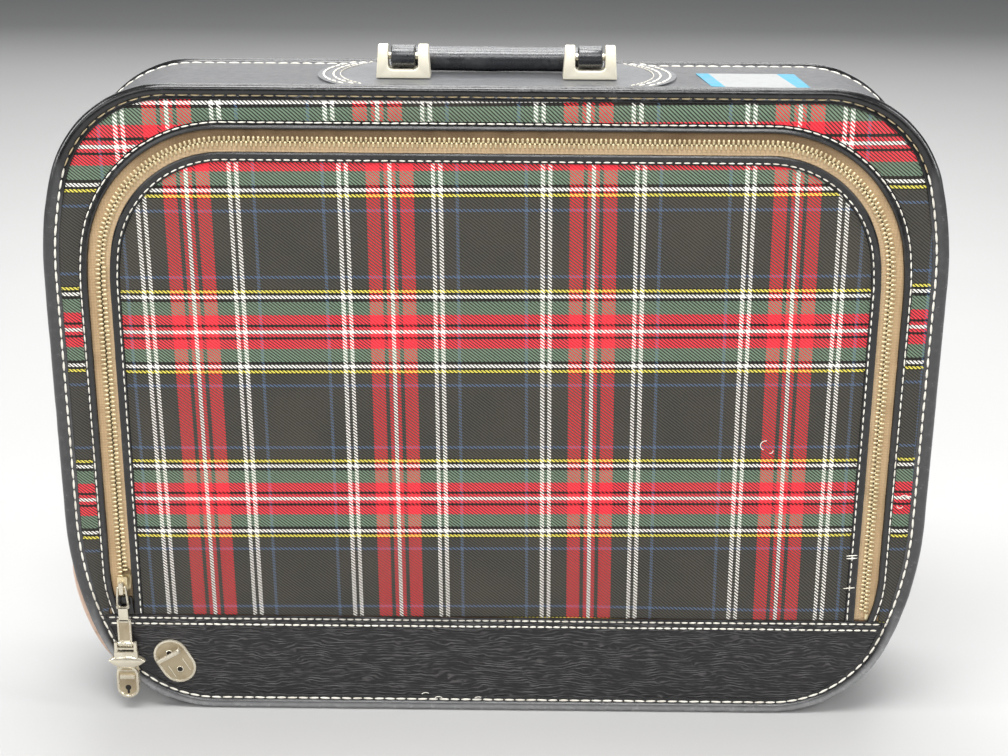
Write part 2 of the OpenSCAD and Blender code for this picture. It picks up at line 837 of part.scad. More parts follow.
// The lock's frame with its hanging bar, its wings and its hollow tongue
module lock_case() {
    frame_half = lock_frame_w/2;
    cheek_in = pull_w/2 + slide_gap;
    bar_l = 2*cheek_in + (frame_half - cheek_in);
    depth = lock_t - lock_wall;
    room_y = lock_front_y + lock_wall;
    color(nickel) lock_place(0) difference() {
        union() {
            upright(lock_front_y, depth) difference() {
                translate([-frame_half, lock_z - lock_frame_h])
                    square([lock_frame_w, lock_frame_h + eye_r]);
                translate([-cheek_in, lock_z - lock_frame_h + eye_r])
                    square([2*cheek_in, lock_frame_h + eye_r]);
            }
            upright(lock_front_y, depth) tongue(0);
            upright(lock_front_y - wing_out, depth + wing_out) wings();
            translate([-bar_l/2, hang_y, lock_z]) rotate([0, 90, 0]) cylinder(r = lock_bar_r, h = bar_l);
        }
        upright(room_y, lock_t) catch_window(catch_flange + slide_gap);
        upright(lock_front_y - through, 2*through) catch_window(slide_gap/2);
        translate([0, lock_front_y - through, keyhole_z]) rotate([-90, 0, 0])
            cylinder(r = keyhole_r, h = lock_t + 2*through);
        translate([-keyhole_slot_w/2, lock_front_y - through, keyhole_z - keyhole_slot_l])
            cube([keyhole_slot_w, lock_t + 2*through, keyhole_slot_l]);
    }
}

module lock_back() {
    color(nickel) lock_place(0) upright(lock_back_y - lock_wall, lock_wall) {
        tongue(0);
        wings();
    }
}

// The catch that snaps behind the staple: a bar with a flange that keeps it in the tongue
module lock_catch() {
    flange_y = lock_front_y + lock_wall + fit;
    color(brass) lock_place(0) {
        upright(lock_front_y - catch_out, flange_y - lock_front_y + catch_out + catch_flange_t)
            catch_window(0);
        upright(flange_y, catch_flange_t) catch_window(catch_flange);
    }
}

gusset_board();
gusset_cover();
gusset_lining();
back_board();
back_cover();
back_lining();
front_frame();
front_border();
front_strip();
front_piping();
back_piping();
zip_tape_outer();
zip_teeth_outer();
zip_binding_outer();
zip_end_stops();
fold_tape();
handle_patch();
handle_backplate();
handle_bracket_left();
handle_bracket_right();
handle_pin_left();
handle_pin_right();
bracket_rivets();
catch_plate();
catch_staple();
catch_rivets();
flap_board();
flap_cover();
flap_lining();
zip_tape_inner();
zip_teeth_inner();
zip_binding_inner();
handle_grip();
handle_core();
zip_slider();
pull_link();
lock_case();
lock_back();
lock_catch();
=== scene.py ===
"""A zip suitcase in tartan cloth and black vinyl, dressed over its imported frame."""
import random
from functools import partialmethod
from math import asin, atan2, copysign, cos, degrees, exp, hypot, pi, radians, sin, sqrt

import bmesh
import bpy
from mathutils import Matrix, Vector, noise


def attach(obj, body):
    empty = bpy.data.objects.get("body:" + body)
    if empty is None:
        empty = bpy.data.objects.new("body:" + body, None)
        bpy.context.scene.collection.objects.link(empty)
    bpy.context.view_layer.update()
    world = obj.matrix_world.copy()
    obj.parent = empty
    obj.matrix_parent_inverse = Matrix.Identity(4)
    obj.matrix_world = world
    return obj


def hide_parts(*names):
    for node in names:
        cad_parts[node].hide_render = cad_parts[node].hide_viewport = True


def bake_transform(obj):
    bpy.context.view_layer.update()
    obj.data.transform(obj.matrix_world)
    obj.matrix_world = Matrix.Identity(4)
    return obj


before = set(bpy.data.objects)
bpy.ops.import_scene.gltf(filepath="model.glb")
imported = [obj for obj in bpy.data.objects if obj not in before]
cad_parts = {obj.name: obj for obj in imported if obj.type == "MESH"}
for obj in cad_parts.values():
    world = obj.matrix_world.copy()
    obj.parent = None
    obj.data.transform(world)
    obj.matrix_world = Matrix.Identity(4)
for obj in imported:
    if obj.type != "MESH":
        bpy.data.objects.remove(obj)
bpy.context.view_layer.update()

# Lengths are in millimetres until a piece is finished
MM = 0.001
HALF_W, CASE_H = 228, 344
SOFT_R = 190
TOP_R, TOP_SOFT_DEG = 63, 16
LOW_R, LOW_SOFT_DEG = 67, 22
ZIP_R, ZIP_SOFT_DEG = 93, 8
SKIN_Y = -43
STRIP_TOP = 56.5
FLAP_FOOT = 56.9
ZIP_IN = 28.3
ZIP_X = HALF_W - ZIP_IN
GUSSET_IN = 1.6
PATCH_Z = 343.4
PIN_Y, PIN_Z = -14.5, 354
BRACKET_X = 46.5
SLIDER_Z, LOCK_Z = 74, 40.5
HANG_Y = -46

# How far in from the outline cloths and seams lie
BORDER_OUT, BORDER_IN = 6.4, 18.9
FLAP_IN, BACK_IN, STRIP_IN = 37.4, 6.5, 6.2
WELT_SEAM_IN, FLANGE_IN = 6.6, 5.2

STRIP_SEAMS = 54.9, 51.3
# Above this height the welt's white stitches take a tan thread: painted shade along the top
SHADED_SEAM_Z = 300
CORD_R, CORD_Y = 3.15, -41.2
PEEL_FROM_DEG, PEEL_SOFT_DEG = 36, 14

# The outer binding's feet swing in below the height at which the flap's side of the zip starts, by the slider
GAP_Z, GAP_X = 82, -195.2
TUCK_SPAN, TUCK_IN = 25.5, 4.2
TOOTH_FOOT, TOOTH_PITCH, TOOTH_Y = 61, 2.4, -41.0
TOOTH_OFF, TOOTH_OFF_SLIDER, SLIDER_TOP_Z = 1.2, 1.76, 252

# The bracket's ears, and the arm from its pin to the grip
EAR_R, EAR_HALF = 5.9, 5.5
ARM_LONG, ARM_DROP = 19.5, -4.05

shift, rotation = Matrix.Translation, Matrix.Rotation


def middles(r, soft_deg):
    """Middles of a right-hand lower corner's tight and soft arcs."""
    a = radians(soft_deg)
    tight = Vector((HALF_W - SOFT_R*(1 - cos(a)) - r*cos(a), 0, r))
    soft = Vector((HALF_W - SOFT_R, 0, SOFT_R*sin(a) + r*(1 - sin(a))))
    return tight, soft


LOW_TIGHT, LOW_SOFT = middles(LOW_R, LOW_SOFT_DEG)
TOP_TIGHT, TOP_SOFT = middles(TOP_R, TOP_SOFT_DEG)
ZIP_TIGHT, ZIP_SOFT = middles(ZIP_R, ZIP_SOFT_DEG)
for middle in (TOP_TIGHT, TOP_SOFT, ZIP_TIGHT, ZIP_SOFT):
    middle.z = CASE_H - middle.z
LOW = LOW_TIGHT, LOW_SOFT, LOW_R, LOW_SOFT_DEG
TOP = TOP_TIGHT, TOP_SOFT, TOP_R, TOP_SOFT_DEG
ZIP_TOP = ZIP_TIGHT, ZIP_SOFT, ZIP_R, ZIP_SOFT_DEG


def over(corner, soft_steps, tight_steps):
    """The path round an upper corner on the right and on to the middle, as runs and turns."""
    tight, soft, _, soft_deg = corner
    return [("turn", soft, soft_deg, soft_steps), ("turn", tight, 90 - soft_deg, tight_steps), ("run", tight.x, 28)]


OVER_THE_TOP, OVER_THE_ZIP = over(TOP, 12, 26), over(ZIP_TOP, 6, 32)
ROUND_THE_CASE = [
    ("run", LOW_TIGHT.x, 28),
    ("turn", LOW_TIGHT, 90 - LOW_SOFT_DEG, 26),
    ("turn", LOW_SOFT, LOW_SOFT_DEG, 14),
    ("run", TOP_SOFT.z - LOW_SOFT.z, 24),
] + OVER_THE_TOP


def up_the_zip(foot):
    return [("run", ZIP_SOFT.z - foot, 36)] + OVER_THE_ZIP


def ahead(heading):
    return Vector((cos(heading), 0, sin(heading)))


def verts_of(geom):
    return [g for g in geom if isinstance(g, bmesh.types.BMVert)]


def spread(half, count):
    """Even places from one side of the middle to the other."""
    return [-half + 2*half*i/count for i in range(count + 1)]


def draw_on(bm, geom, step, steps=1):
    """Carries points and edges straight on, and gives the last of them."""
    return bmesh.ops.spin(bm, geom=geom, axis=(0, -1, 0), dvec=step, angle=0, steps=steps)["geom_last"]


def sweep(bm, geom, path, heading):
    """Carries points and edges along runs and turns, anticlockwise as seen from the front."""
    for kind, size, *how in path:
        if kind == "run":
            geom = draw_on(bm, geom, ahead(heading)*size/how[0], how[0])
        else:
            angle, steps = radians(how[0]), how[1]
            geom = bmesh.ops.spin(bm, geom=geom, cent=size, axis=(0, -1, 0), angle=angle, steps=steps)["geom_last"]
            heading += angle


def walk(start, path, heading, pitch, first=0.5):
    """Points an even pitch apart, with the heading at each, along the same runs and turns."""
    at, legs = Vector(start), []
    for kind, size, *how in path:
        if kind == "run":
            legs.append((size, at, heading, None))
            at = at + ahead(heading)*size
        else:
            angle = radians(how[0])
            legs.append(((at - size).xz.length*angle, at, heading, size))
            at = size + rotation(-angle, 3, "Y") @ (at - size)
            heading += angle
    whole = sum(leg[0] for leg in legs)
    pitch = whole/round(whole/pitch)
    left = first*pitch
    for length, at, heading, middle in legs:
        while left < length + 0.001:
            if middle is None:
                yield at + ahead(heading)*left, heading
            else:
                turn = left/(at - middle).xz.length
                yield middle + rotation(-turn, 3, "Y") @ (at - middle), heading + turn
            left += pitch
        left -= length


def both_halves(places):
    """The same places on the right and, mirrored, on the left."""
    for at, heading in places:
        yield at, heading
        if at.x > 0.01:
            yield Vector((-at.x, at.y, at.z)), pi - heading


def chain(bm, points, closed=True):
    """A few points joined by edges: the section that a sweep carries."""
    verts = [bm.verts.new(p) for p in points]
    return verts + [bm.edges.new(pair) for pair in zip(verts, verts[1:] + verts[:1] if closed else verts[1:])]


def face_out(bm):
    bmesh.ops.recalc_face_normals(bm, faces=bm.faces)


def move(bm, vec):
    bmesh.ops.translate(bm, vec=vec, verts=bm.verts)


def resize(bm, vec):
    bmesh.ops.scale(bm, vec=vec, verts=bm.verts)


def mirror_half(bm):
    bmesh.ops.mirror(bm, geom=bm.verts[:] + bm.edges[:] + bm.faces[:], axis="X", merge_dist=0.01)


def close_ends(bm):
    bmesh.ops.holes_fill(bm, edges=[e for e in bm.edges if e.is_boundary], sides=0)


def ring(section):
    """A section of (inset, y) points carried right round the case."""
    bm = bmesh.new()
    sweep(bm, chain(bm, [(0, y, inset) for inset, y in section]), ROUND_THE_CASE, 0)
    mirror_half(bm)
    return bm


def arch(section, foot):
    """A section of (inset, y) points carried up one side, over the top and down the other."""
    bm = bmesh.new()
    sweep(bm, chain(bm, [(HALF_W - inset, y, foot) for inset, y in section]), up_the_zip(foot), pi/2)
    mirror_half(bm)
    close_ends(bm)
    return bm


def corner_at(z, top):
    """The corner at a height, if there is one. Only the case's own outline has a lower one."""
    if z > top[1].z:
        return top
    return LOW if z < LOW_SOFT.z and top is TOP else None


def inset_of(at, top=TOP):
    """How far a point of the front lies in from the case's outline, or from the one that the zip follows."""
    x, z = abs(at.x), at.z
    corner = corner_at(z, top)
    if not corner:
        return HALF_W - x
    tight, soft, r, soft_deg = corner
    up = tight.z - z if corner is LOW else z - tight.z
    if x <= tight.x and up > 0:
        return r - up
    if degrees(atan2(up, x - tight.x)) > soft_deg:
        return r - hypot(x - tight.x, up)
    return SOFT_R - hypot(x - soft.x, z - soft.z)


def half_width(z, inset, top=TOP):
    """Half the width of a panel at a height, inset from the same outlines."""
    corner = corner_at(z, top)
    if not corner:
        return HALF_W - inset
    tight, soft, r, soft_deg = corner
    if abs(z - soft.z) <= (SOFT_R - inset)*sin(radians(soft_deg)):
        return soft.x + sqrt((SOFT_R - inset)**2 - (z - soft.z)**2)
    return tight.x + sqrt(max((r - inset)**2 - (z - tight.z)**2, 0))


def levels(inset, low=None, high=None, pace=7, top=TOP):
    """Heights of a panel's rows: even up the sides, closer round the corners."""
    low_corner = [LOW_TIGHT.z - (LOW_R - inset)*cos(radians(d)) for d in range(0, 69, 6)]
    top_corner = [top[0].z + (top[2] - inset)*cos(radians(d)) for d in range(78, -1, -6)]
    first, last = low_corner[-1] + pace, top_corner[0] - pace/2
    count = round((last - first)/pace)
    heights = low_corner + top_corner + [first + (last - first)*i/count for i in range(count + 1)]
    low = heights[0] if low is None else low
    high = max(heights) if high is None else high
    return [low] + sorted(h for h in heights if low + 1 < h < high - 0.2) + [high]


def row_by_row(places, wide_at, base, way, columns):
    """A skin grown along a way from its base, each row as wide as wide_at says."""
    bm = bmesh.new()
    wide = wide_at(places[0])
    row = chain(bm, [base + way*places[0] + Vector((wide*(2*i/columns - 1), 0, 0)) for i in range(columns + 1)],
                closed=False)
    for near, far in zip(places, places[1:]):
        row = draw_on(bm, row, way*(far - near))
        bmesh.ops.scale(bm, vec=(wide_at(far)/wide, 1, 1), verts=verts_of(row))
        wide = wide_at(far)
    return bm


def panel(heights, inset, y, columns, top=TOP):
    """A cloth that keeps to the case's outline."""
    return row_by_row(heights, lambda z: half_width(z, inset, top), Vector((0, y, 0)), Vector((0, 0, 1)), columns)


def thicken(bm, vec):
    """Gives a skin a second face, a step away, and closes its rim."""
    grown = bmesh.ops.extrude_face_region(bm, geom=bm.faces[:], use_keep_orig=True)["geom"]
    bmesh.ops.translate(bm, vec=vec, verts=verts_of(grown))


def uneven(bm, size, depth, seed):
    """Small unevenness along the surface's own normal."""
    bm.normal_update()
    for v in bm.verts:
        v.co += v.normal*noise.noise(v.co/size + Vector((seed, 0, 0)))*depth


def join(bm, part, place=Matrix()):
    """Adds a small part, put in place, to a piece."""
    bmesh.ops.transform(part, matrix=place, verts=part.verts)
    mesh = bpy.data.meshes.new("part")
    part.to_mesh(mesh)
    part.free()
    bm.from_mesh(mesh)
    bpy.data.meshes.remove(mesh)


def soften(bm, geom, offset, segments=2, affect="EDGES", clamp=False):
    """Rounds off edges, or the corners of an outline."""
    bmesh.ops.bevel(bm, geom=geom, offset=offset, segments=segments, profile=0.5, affect=affect, material=-1,
                    clamp_overlap=clamp)


def creases(bm, angle=1.2):
    """The edges where a shape turns sharply."""
    return [e for e in bm.edges if e.calc_face_angle(0) > angle]


def oblong(half, low, high):
    return [(-half, low), (half, low), (half, high), (-half, high)]


def slab(corners, depth, rounds=0, edge=0.3, rim=0, sunk=0):
    """A plate with its front on y = 0, round corners and softened edges.

    Where asked, it has a raised rim round a duller middle.
    """
    part = bmesh.new()
    part.faces.new([part.verts.new((x, 0, z)) for x, z in corners])
    if rounds:
        soften(part, part.verts[:], rounds, 7, "VERTICES")
        bmesh.ops.remove_doubles(part, verts=part.verts, dist=0.06)
    thicken(part, (0, depth, 0))
    face_out(part)
    if edge:
        soften(part, [e for e in part.edges if abs(e.verts[0].co.y - e.verts[1].co.y) < 0.01], edge, clamp=True)
    if rim:
        front = [f for f in part.faces if f.normal.y < -0.99]
        bmesh.ops.inset_region(part, faces=front, thickness=rim)
        bmesh.ops.inset_region(part, faces=front, thickness=sunk*0.6)
        bmesh.ops.translate(part, vec=(0, sunk, 0), verts=list({v for f in front for v in f.verts}))
        for face in front:
            face.material_index = 1
    return part


def box(low, high, edge=0.3):
    """A block between two corners, with softened edges."""
    part = bmesh.new()
    bmesh.ops.create_cube(part, size=1)
    low, high = Vector(low), Vector(high)
    resize(part, high - low)
    move(part, (low + high)/2)
    soften(part, part.edges[:], edge)
    return part


def turned(outline, segments=20):
    """A shape turned about the Y axis from (radius, y) points."""
    part = bmesh.new()
    bmesh.ops.spin(part, geom=chain(part, [(r, y, 0) for r, y in outline], closed=False), axis=(0, 1, 0),
                   angle=2*pi, steps=segments, use_merge=True)
    bmesh.ops.remove_doubles(part, verts=part.verts, dist=0.001)
    return part


def loft(bm, spots, stations, centre):
    """A closed section carried along X, with its size at each (x, size) station."""
    section = chain(bm, [centre + Vector((stations[0][0], 0, 0)) + spot*stations[0][1] for spot in spots])
    for (x, size), (next_x, next_size) in zip(stations, stations[1:]):
        section = draw_on(bm, section, (next_x - x, 0, 0))
        bmesh.ops.scale(bm, vec=(1, next_size/size, next_size/size), verts=verts_of(section), space=shift(-centre))
    close_ends(bm)


def lying_across(x, y, z):
    """Puts a turned shape's axis along X."""
    return shift((x, y, z)) @ rotation(-pi/2, 4, "Z")


def piece(name, bm, body, finish, stands_for=(), crease=40):
    """Finishes a piece in metres and puts it on its body."""
    bmesh.ops.remove_doubles(bm, verts=bm.verts, dist=0.0005)
    face_out(bm)
    resize(bm, (MM, MM, MM))
    mesh = bpy.data.meshes.new(name)
    bm.to_mesh(mesh)
    bm.free()
    mesh.shade_smooth()
    mesh.set_sharp_from_angle(angle=radians(crease))
    for material in finish if isinstance(finish, tuple) else (finish,):
        mesh.materials.append(material)
    made = bpy.data.objects.new(name, mesh)
    bpy.context.scene.collection.objects.link(made)
    if body:
        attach(made, body)
    if stands_for:
        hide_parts(*stands_for)
    return made


def srgb(rgb):
    """A colour written as 0 to 255 sRGB, as the shader takes it. A wire stays as it is."""
    if isinstance(rgb, Wire):
        return rgb
    return tuple(c/12.92 if c <= 0.04045 else ((c + 0.055)/1.055)**2.4 for c in (v/255 for v in rgb)) + (1,)


class Wire:
    """One output of a node. Sums written with it add Math nodes to its finish."""

    def __init__(self, finish, socket):
        self.finish, self.socket = finish, socket

    def sum(self, operation, *others, clamp=False):
        return self.finish.node("Math", {"operation": operation, "use_clamp": clamp},
                                dict(enumerate((self,) + others)))

    __add__ = __radd__ = partialmethod(sum, "ADD")
    __sub__ = partialmethod(sum, "SUBTRACT")
    __mul__ = partialmethod(sum, "MULTIPLY")
    __truediv__ = partialmethod(sum, "DIVIDE")

    def __rsub__(self, other):
        return self.finish.node("Math", {"operation": "SUBTRACT"}, {0: other, 1: self})

    def within(self):
        """Held between 0 and 1."""
        return self.sum("ADD", 0, clamp=True)


class Finish:
    """A material in the making: adds nodes, and ends in one Principled shader."""

    def __init__(self, name):
        self.material = bpy.data.materials.new(name)
        self.material.use_nodes = True
        self.tree = self.material.node_tree
        self.shader = self.tree.nodes["Principled BSDF"]

    def feed(self, socket, value):
        if isinstance(value, Wire):
            self.tree.links.new(value.socket, socket)
        else:
            socket.default_value = value

    def node(self, kind, settings=None, sockets=None, out=0):
        """Adds a node: its settings, then the values or wires of its sockets."""
        made = self.tree.nodes.new("ShaderNode" + kind)
        for name, value in (settings or {}).items():
            setattr(made, name, value)
        for name, value in (sockets or {}).items():
            self.feed(made.inputs[name], value)
        return Wire(self, made.outputs[out])

    def place(self, scale=(1, 1, 1), turn=(0, 0, 0)):
        """The piece's own place, in millimetres."""
        at = self.node("TexCoord", out="Object")
        return self.node("Mapping", None, {"Vector": at, "Rotation": turn, "Scale": [1000*s for s in scale]})

    def axes(self, at):
        split = self.node("SeparateXYZ", None, {0: at}).socket.node
        return [Wire(self, out) for out in split.outputs]

    def cloud(self, at, size, detail=3, rough=0.5):
        return self.node("TexNoise", None, {"Vector": at, "Scale": 1/size, "Detail": detail, "Roughness": rough})

    def cells(self, at, size, feature="F1"):
        return self.node("TexVoronoi", {"feature": feature}, {"Vector": at, "Scale": 1/size})

    def scuffed(self, at, wear):
        """Fine scuffs, and how far they and broader patches have worn a vinyl."""
        scuffs = self.cloud(at, 5, 6, 0.7)
        patches = self.cloud(at, 45, 3)
        return scuffs, ((scuffs - 0.52)*5 + (patches - 0.5)*2).within()*wear

    def mix(self, share, a, b):
        return self.node("Mix", {"data_type": "RGBA"}, {0: share, 6: srgb(a), 7: srgb(b)}, out=2)

    def bands(self, along, stops):
        """Hard-edged colours along a value, the first of them from 0."""
        made = self.node("ValToRGB", None, {"Fac": along})
        ramp = made.socket.node.color_ramp
        ramp.interpolation = "CONSTANT"
        ramp.elements.remove(ramp.elements[1])
        ramp.elements[0].color = srgb(stops[0][1])
        for position, colour in stops[1:]:
            ramp.elements.new(position).color = srgb(colour)
        return made

    def bump(self, height, depth, strength=1.0):
        return self.node("Bump", None, {"Height": height, "Strength": strength, "Distance": depth*MM})

    def done(self, **sockets):
        for name, value in sockets.items():
            self.feed(self.shader.inputs[name.replace("_", " ")], value)
        return self.material


WARP_YARN = {None: (46, 45, 42), "white": (255, 252, 244), "red": (230, 40, 54), "blue": (82, 102, 128)}
WEFT_YARN = {None: (80, 78, 72), "black": (26, 25, 24), "white": (255, 252, 244), "red": (252, 68, 82),
             "green": (122, 145, 122), "yellow": (246, 232, 100), "blue": (94, 110, 134)}
SETT_ACROSS, SETT_UP = 100.81, 92.17
TWILL_ACROSS, TWILL_UP = 2.08, 1.69
LIFT_Z, LIFT_SPAN = 316, 16
SAG_Z, SAG_SPAN, SAG_X, SAG_WIDE = 84, 24, 40, 100
WARP_STRIPES = [(0, "white"), (0.9, "red"), (2.8, None), (4.9, "red"), (11.7, None), (20.3, "white"), (22.3, None),
                (24, "white"), (26, None), (32.4, "blue"), (34, None)]
WEFT_STRIPES = [(0, "white"), (0.8, "red"), (2.7, "black"), (3.8, "red"), (9, "green"), (16, "black"), (17.6, "white"),
                (19.4, "black"), (20.6, "yellow"), (22, "black"), (22.6, None), (28.1, "blue"), (29.7, None)]


def tartan(name, across_middle, up_middle, turn=0.0109, scale=1.0, lift=0.0, sag=0.0):
    """Twill cloth: the warp's stripes and the weft's stripes show by turns along each diagonal.

    lift raises the pattern along the case's top, and sag lowers it at the right end of the foot.
    """
    f = Finish(name)
    across, _, up = f.axes(f.place(turn=(0, turn, 0)))
    lifted = ((up - LIFT_Z)/LIFT_SPAN).within()*lift
    lowered = ((SAG_Z - up)/SAG_SPAN).within()*((across - SAG_X)/SAG_WIDE).within()*sag
    across, up = across - across_middle, up - up_middle - lifted + lowered
    warp_at = across.sum("PINGPONG", SETT_ACROSS*scale/2)/(SETT_ACROSS*scale/2)
    weft_at = up.sum("PINGPONG", SETT_UP*scale/2)/(SETT_UP*scale/2)
    warp = f.bands(warp_at, [(at/(SETT_ACROSS/2), WARP_YARN[c]) for at, c in WARP_STRIPES])
    weft = f.bands(weft_at, [(at/(SETT_UP/2), WEFT_YARN[c]) for at, c in WEFT_STRIPES])
    wave = ((across/TWILL_ACROSS + up/TWILL_UP)*(2*pi)).sum("SINE")
    over = (wave*2.0 + 0.04).within()
    yarn = f.mix(over, weft, warp)
    fuzz = f.cloud(f.place(), 0.8, 2)
    soil = f.cloud(f.place(), 35, 4)
    worn = f.mix(((soil - 0.5)*0.3 + 0.05).within(), yarn, (112, 102, 88))
    shade = f.mix((0.5 - fuzz).within()*0.8, worn, (24, 22, 20))
    ribs = wave.sum("ABSOLUTE")*0.5 + fuzz*0.5
    return f.done(Base_Color=shade, Roughness=0.92, Sheen_Weight=0.08, Specular_IOR_Level=0.2,
                  Normal=f.bump(ribs, 0.25, 0.6))


def grained_vinyl(name, colour, worn_colour, grain, depth, rough, wear, gloss=0.5, dust=0.0):
    """Grained vinyl with scuffs, under a film of dust."""
    f = Finish(name)
    at = f.place()
    pores = f.cells(at, grain, "SMOOTH_F1")
    fine = f.cloud(at, grain*0.6, 3)
    scuffs, worn = f.scuffed(at, wear)
    return f.done(Base_Color=f.mix(worn, colour, worn_colour), Roughness=rough + (scuffs - 0.5)*0.25 + worn*0.2,
                  Specular_IOR_Level=gloss, Sheen_Weight=dust, Normal=f.bump(pores*0.7 + fine*0.6, depth, 0.8))


def piping_vinyl(name):
    """Smooth black vinyl, pale grey along the cord's outer side round the case's foot, most towards the bottom."""
    f = Finish(name)
    at = f.place()
    x, _, z = f.axes(at)
    beside = (x.sum("ABSOLUTE") - LOW_TIGHT.x).sum("MAXIMUM", 0)
    below = (z*-1 + LOW_TIGHT.z).sum("MAXIMUM", 0)
    out = (beside*beside + below*below).sum("SQRT")
    scuffs, worn = f.scuffed(at, 0.3)
    foot = ((out - LOW_R + 5.2)/2.4).within()*(below/40 + 0.15).within()
    rubbed = f.mix(worn, (15, 15, 16), (78, 76, 76))
    shade = f.mix(foot*(0.75 + (scuffs - 0.5)*0.7), rubbed, (160, 160, 161))
    return f.done(Base_Color=shade, Roughness=0.2 + (scuffs - 0.5)*0.25 + worn*0.2 + foot*0.05, Specular_IOR_Level=0.7,
                  Normal=f.bump(f.cloud(at, 0.4, 3) + f.cells(at, 0.6, "SMOOTH_F1"), 0.04, 0.8))


def creased_vinyl(name):
    """The strip's vinyl, with wavering level creases whose crests are painted paler as a highlight."""
    f = Finish(name)
    at = f.place()
    z = f.axes(at)[2]
    drift = f.cloud(f.place((0.035, 1, 0.09)), 1, 3, 0.6)
    strength = f.cloud(f.place((0.11, 1, 0.3)), 1, 2)
    ridges = ((z/1.75 + drift*7)*(2*pi)).sum("SINE")*((strength - 0.33)*3.5).within()
    fine = f.cloud(f.place((0.3, 1, 1)), 0.5, 3, 0.6)
    scuffs = f.cloud(at, 8, 6, 0.7)
    # Paler on the creases' crests, a painted highlight, and paler where scuffed, which is wear
    worn = (ridges*0.5).within() + ((scuffs - 0.6)*4).within()*0.3
    return f.done(Base_Color=f.mix(worn, (27, 26, 28), (104, 101, 100)), Roughness=0.42 + (scuffs - 0.5)*0.2,
                  Normal=f.bump(ridges + fine*0.3, 0.28, 0.8))


def twisted_thread(name, colour, grime):
    f = Finish(name)
    at = f.place()
    plies = f.cloud(at, 0.5, 2)
    dirt = f.cloud(at, 18, 4)
    shade = f.mix(((dirt - 0.48)*3).within()*0.6, colour, grime)
    return f.done(Base_Color=f.mix((plies - 0.5).within(), shade, grime), Roughness=0.8, Normal=f.bump(plies, 0.1))


def woven_tape(name, colour, dark, top_shade=0.0):
    """Woven cotton tape. Its last argument is how much painted shade browns it along the case's top, under the
    binding.
    """
    f = Finish(name)
    x, y, z = f.axes(f.place())
    slub = f.cloud(f.place(), 1.2, 3)
    wale = (((x + y)*4.2).sum("SINE") + ((z - y)*4.2).sum("SINE"))*0.25 + 0.5
    soil = f.cloud(f.place(), 14, 4)
    shade = f.mix(((soil - 0.45)*2).within()*0.5 + wale*0.15, colour, dark)
    # Painted shade: darker brown towards the case's top, where the binding shades the tape
    top_shaded = f.mix(((z - 296)/26).within()*(0.7 + soil*0.5)*top_shade, shade, (84, 62, 40))
    return f.done(Base_Color=top_shaded, Roughness=0.9, Normal=f.bump(wale + slub*0.5, 0.15))


def aged_metal(name, bright, dull, metallic, rough):
    """Plated metal, dulled and spotted with age."""
    f = Finish(name)
    at = f.place()
    bloom = f.cloud(at, 11, 5, 0.6)
    spots = f.cells(at, 2)
    tarnish = ((bloom - 0.48)*2.4).within()*0.7 + ((0.2 - spots)*4).within()*0.25
    return f.done(Base_Color=f.mix(tarnish, bright, dull), Metallic=metallic - tarnish*0.3,
                  Roughness=rough + tarnish*0.25 + (bloom - 0.5)*0.15,
                  Normal=f.bump(bloom + spots*0.3, 0.05, 0.5))


def fibre_board(name):
    f = Finish(name)
    at = f.place()
    fibres = f.cloud(f.place((0.3, 1, 1)), 1.1, 5, 0.7)
    stain = f.cloud(at, 40, 4)
    shade = f.mix(fibres, (96, 70, 46), (142, 110, 76))
    return f.done(Base_Color=f.mix((stain - 0.4).within(), shade, (88, 64, 44)), Roughness=0.85,
                  Normal=f.bump(fibres, 0.15))


def lining_cloth(name):
    """Plain-woven lining with a faint check."""
    f = Finish(name)
    x, y, z = f.axes(f.place())
    weave = ((x + y)*5).sum("SINE")*((z + y)*5).sum("SINE")*0.5 + 0.5
    check = ((x + y)/9).sum("PINGPONG", 0.5).sum("LESS_THAN", 0.06) + ((z - y)/9).sum("PINGPONG", 0.5).sum(
        "LESS_THAN", 0.06)
    soil = f.cloud(f.place(), 60, 4)
    shade = f.mix(check.within()*0.45, (182, 160, 126), (128, 100, 76))
    return f.done(Base_Color=f.mix((soil - 0.45).within(), shade, (120, 98, 74)), Roughness=0.92,
                  Normal=f.bump(weave, 0.12))


# A dark sheet for the keyhole and the eyelets' bores: painted shade in those hollows, mottled brown
def keyhole_shade():
    f = Finish("keyhole_dark")
    dust = f.cloud(f.place(), 0.6, 3)
    return f.done(Base_Color=f.mix(dust, (14, 12, 10), (40, 34, 26)), Roughness=0.8)


def paper():
    f = Finish("label_paper")
    at = f.place()
    x, y, _ = f.axes(at)
    slant = x + y*0.1
    ends = (slant - 127).sum("ABSOLUTE").sum("GREATER_THAN", 17.5)
    rubbed = ((f.cloud(at, 4, 6, 0.7) - 0.5)*5).within()
    printed = f.mix(ends, (150, 152, 151), (62, 138, 164))
    return f.done(Base_Color=f.mix(rubbed*0.5, printed, (132, 134, 132)), Roughness=0.7,
                  Normal=f.bump(f.cloud(at, 2, 4), 0.05))


tartan_flap = tartan("tartan_flap", 51.77, 219.1, sag=2.6)
tartan_border = tartan("tartan_border", 49.5, 220.9, 0.0129, 1.0217, 2.6, 1.3)
tartan_back = tartan("tartan_back", 71.8, 230.1)
gusset_vinyl = grained_vinyl("gusset_vinyl", (34, 34, 38), (82, 82, 90), 1.0, 0.16, 0.42, 0.35, dust=0.1)
welt_vinyl = piping_vinyl("welt_vinyl")
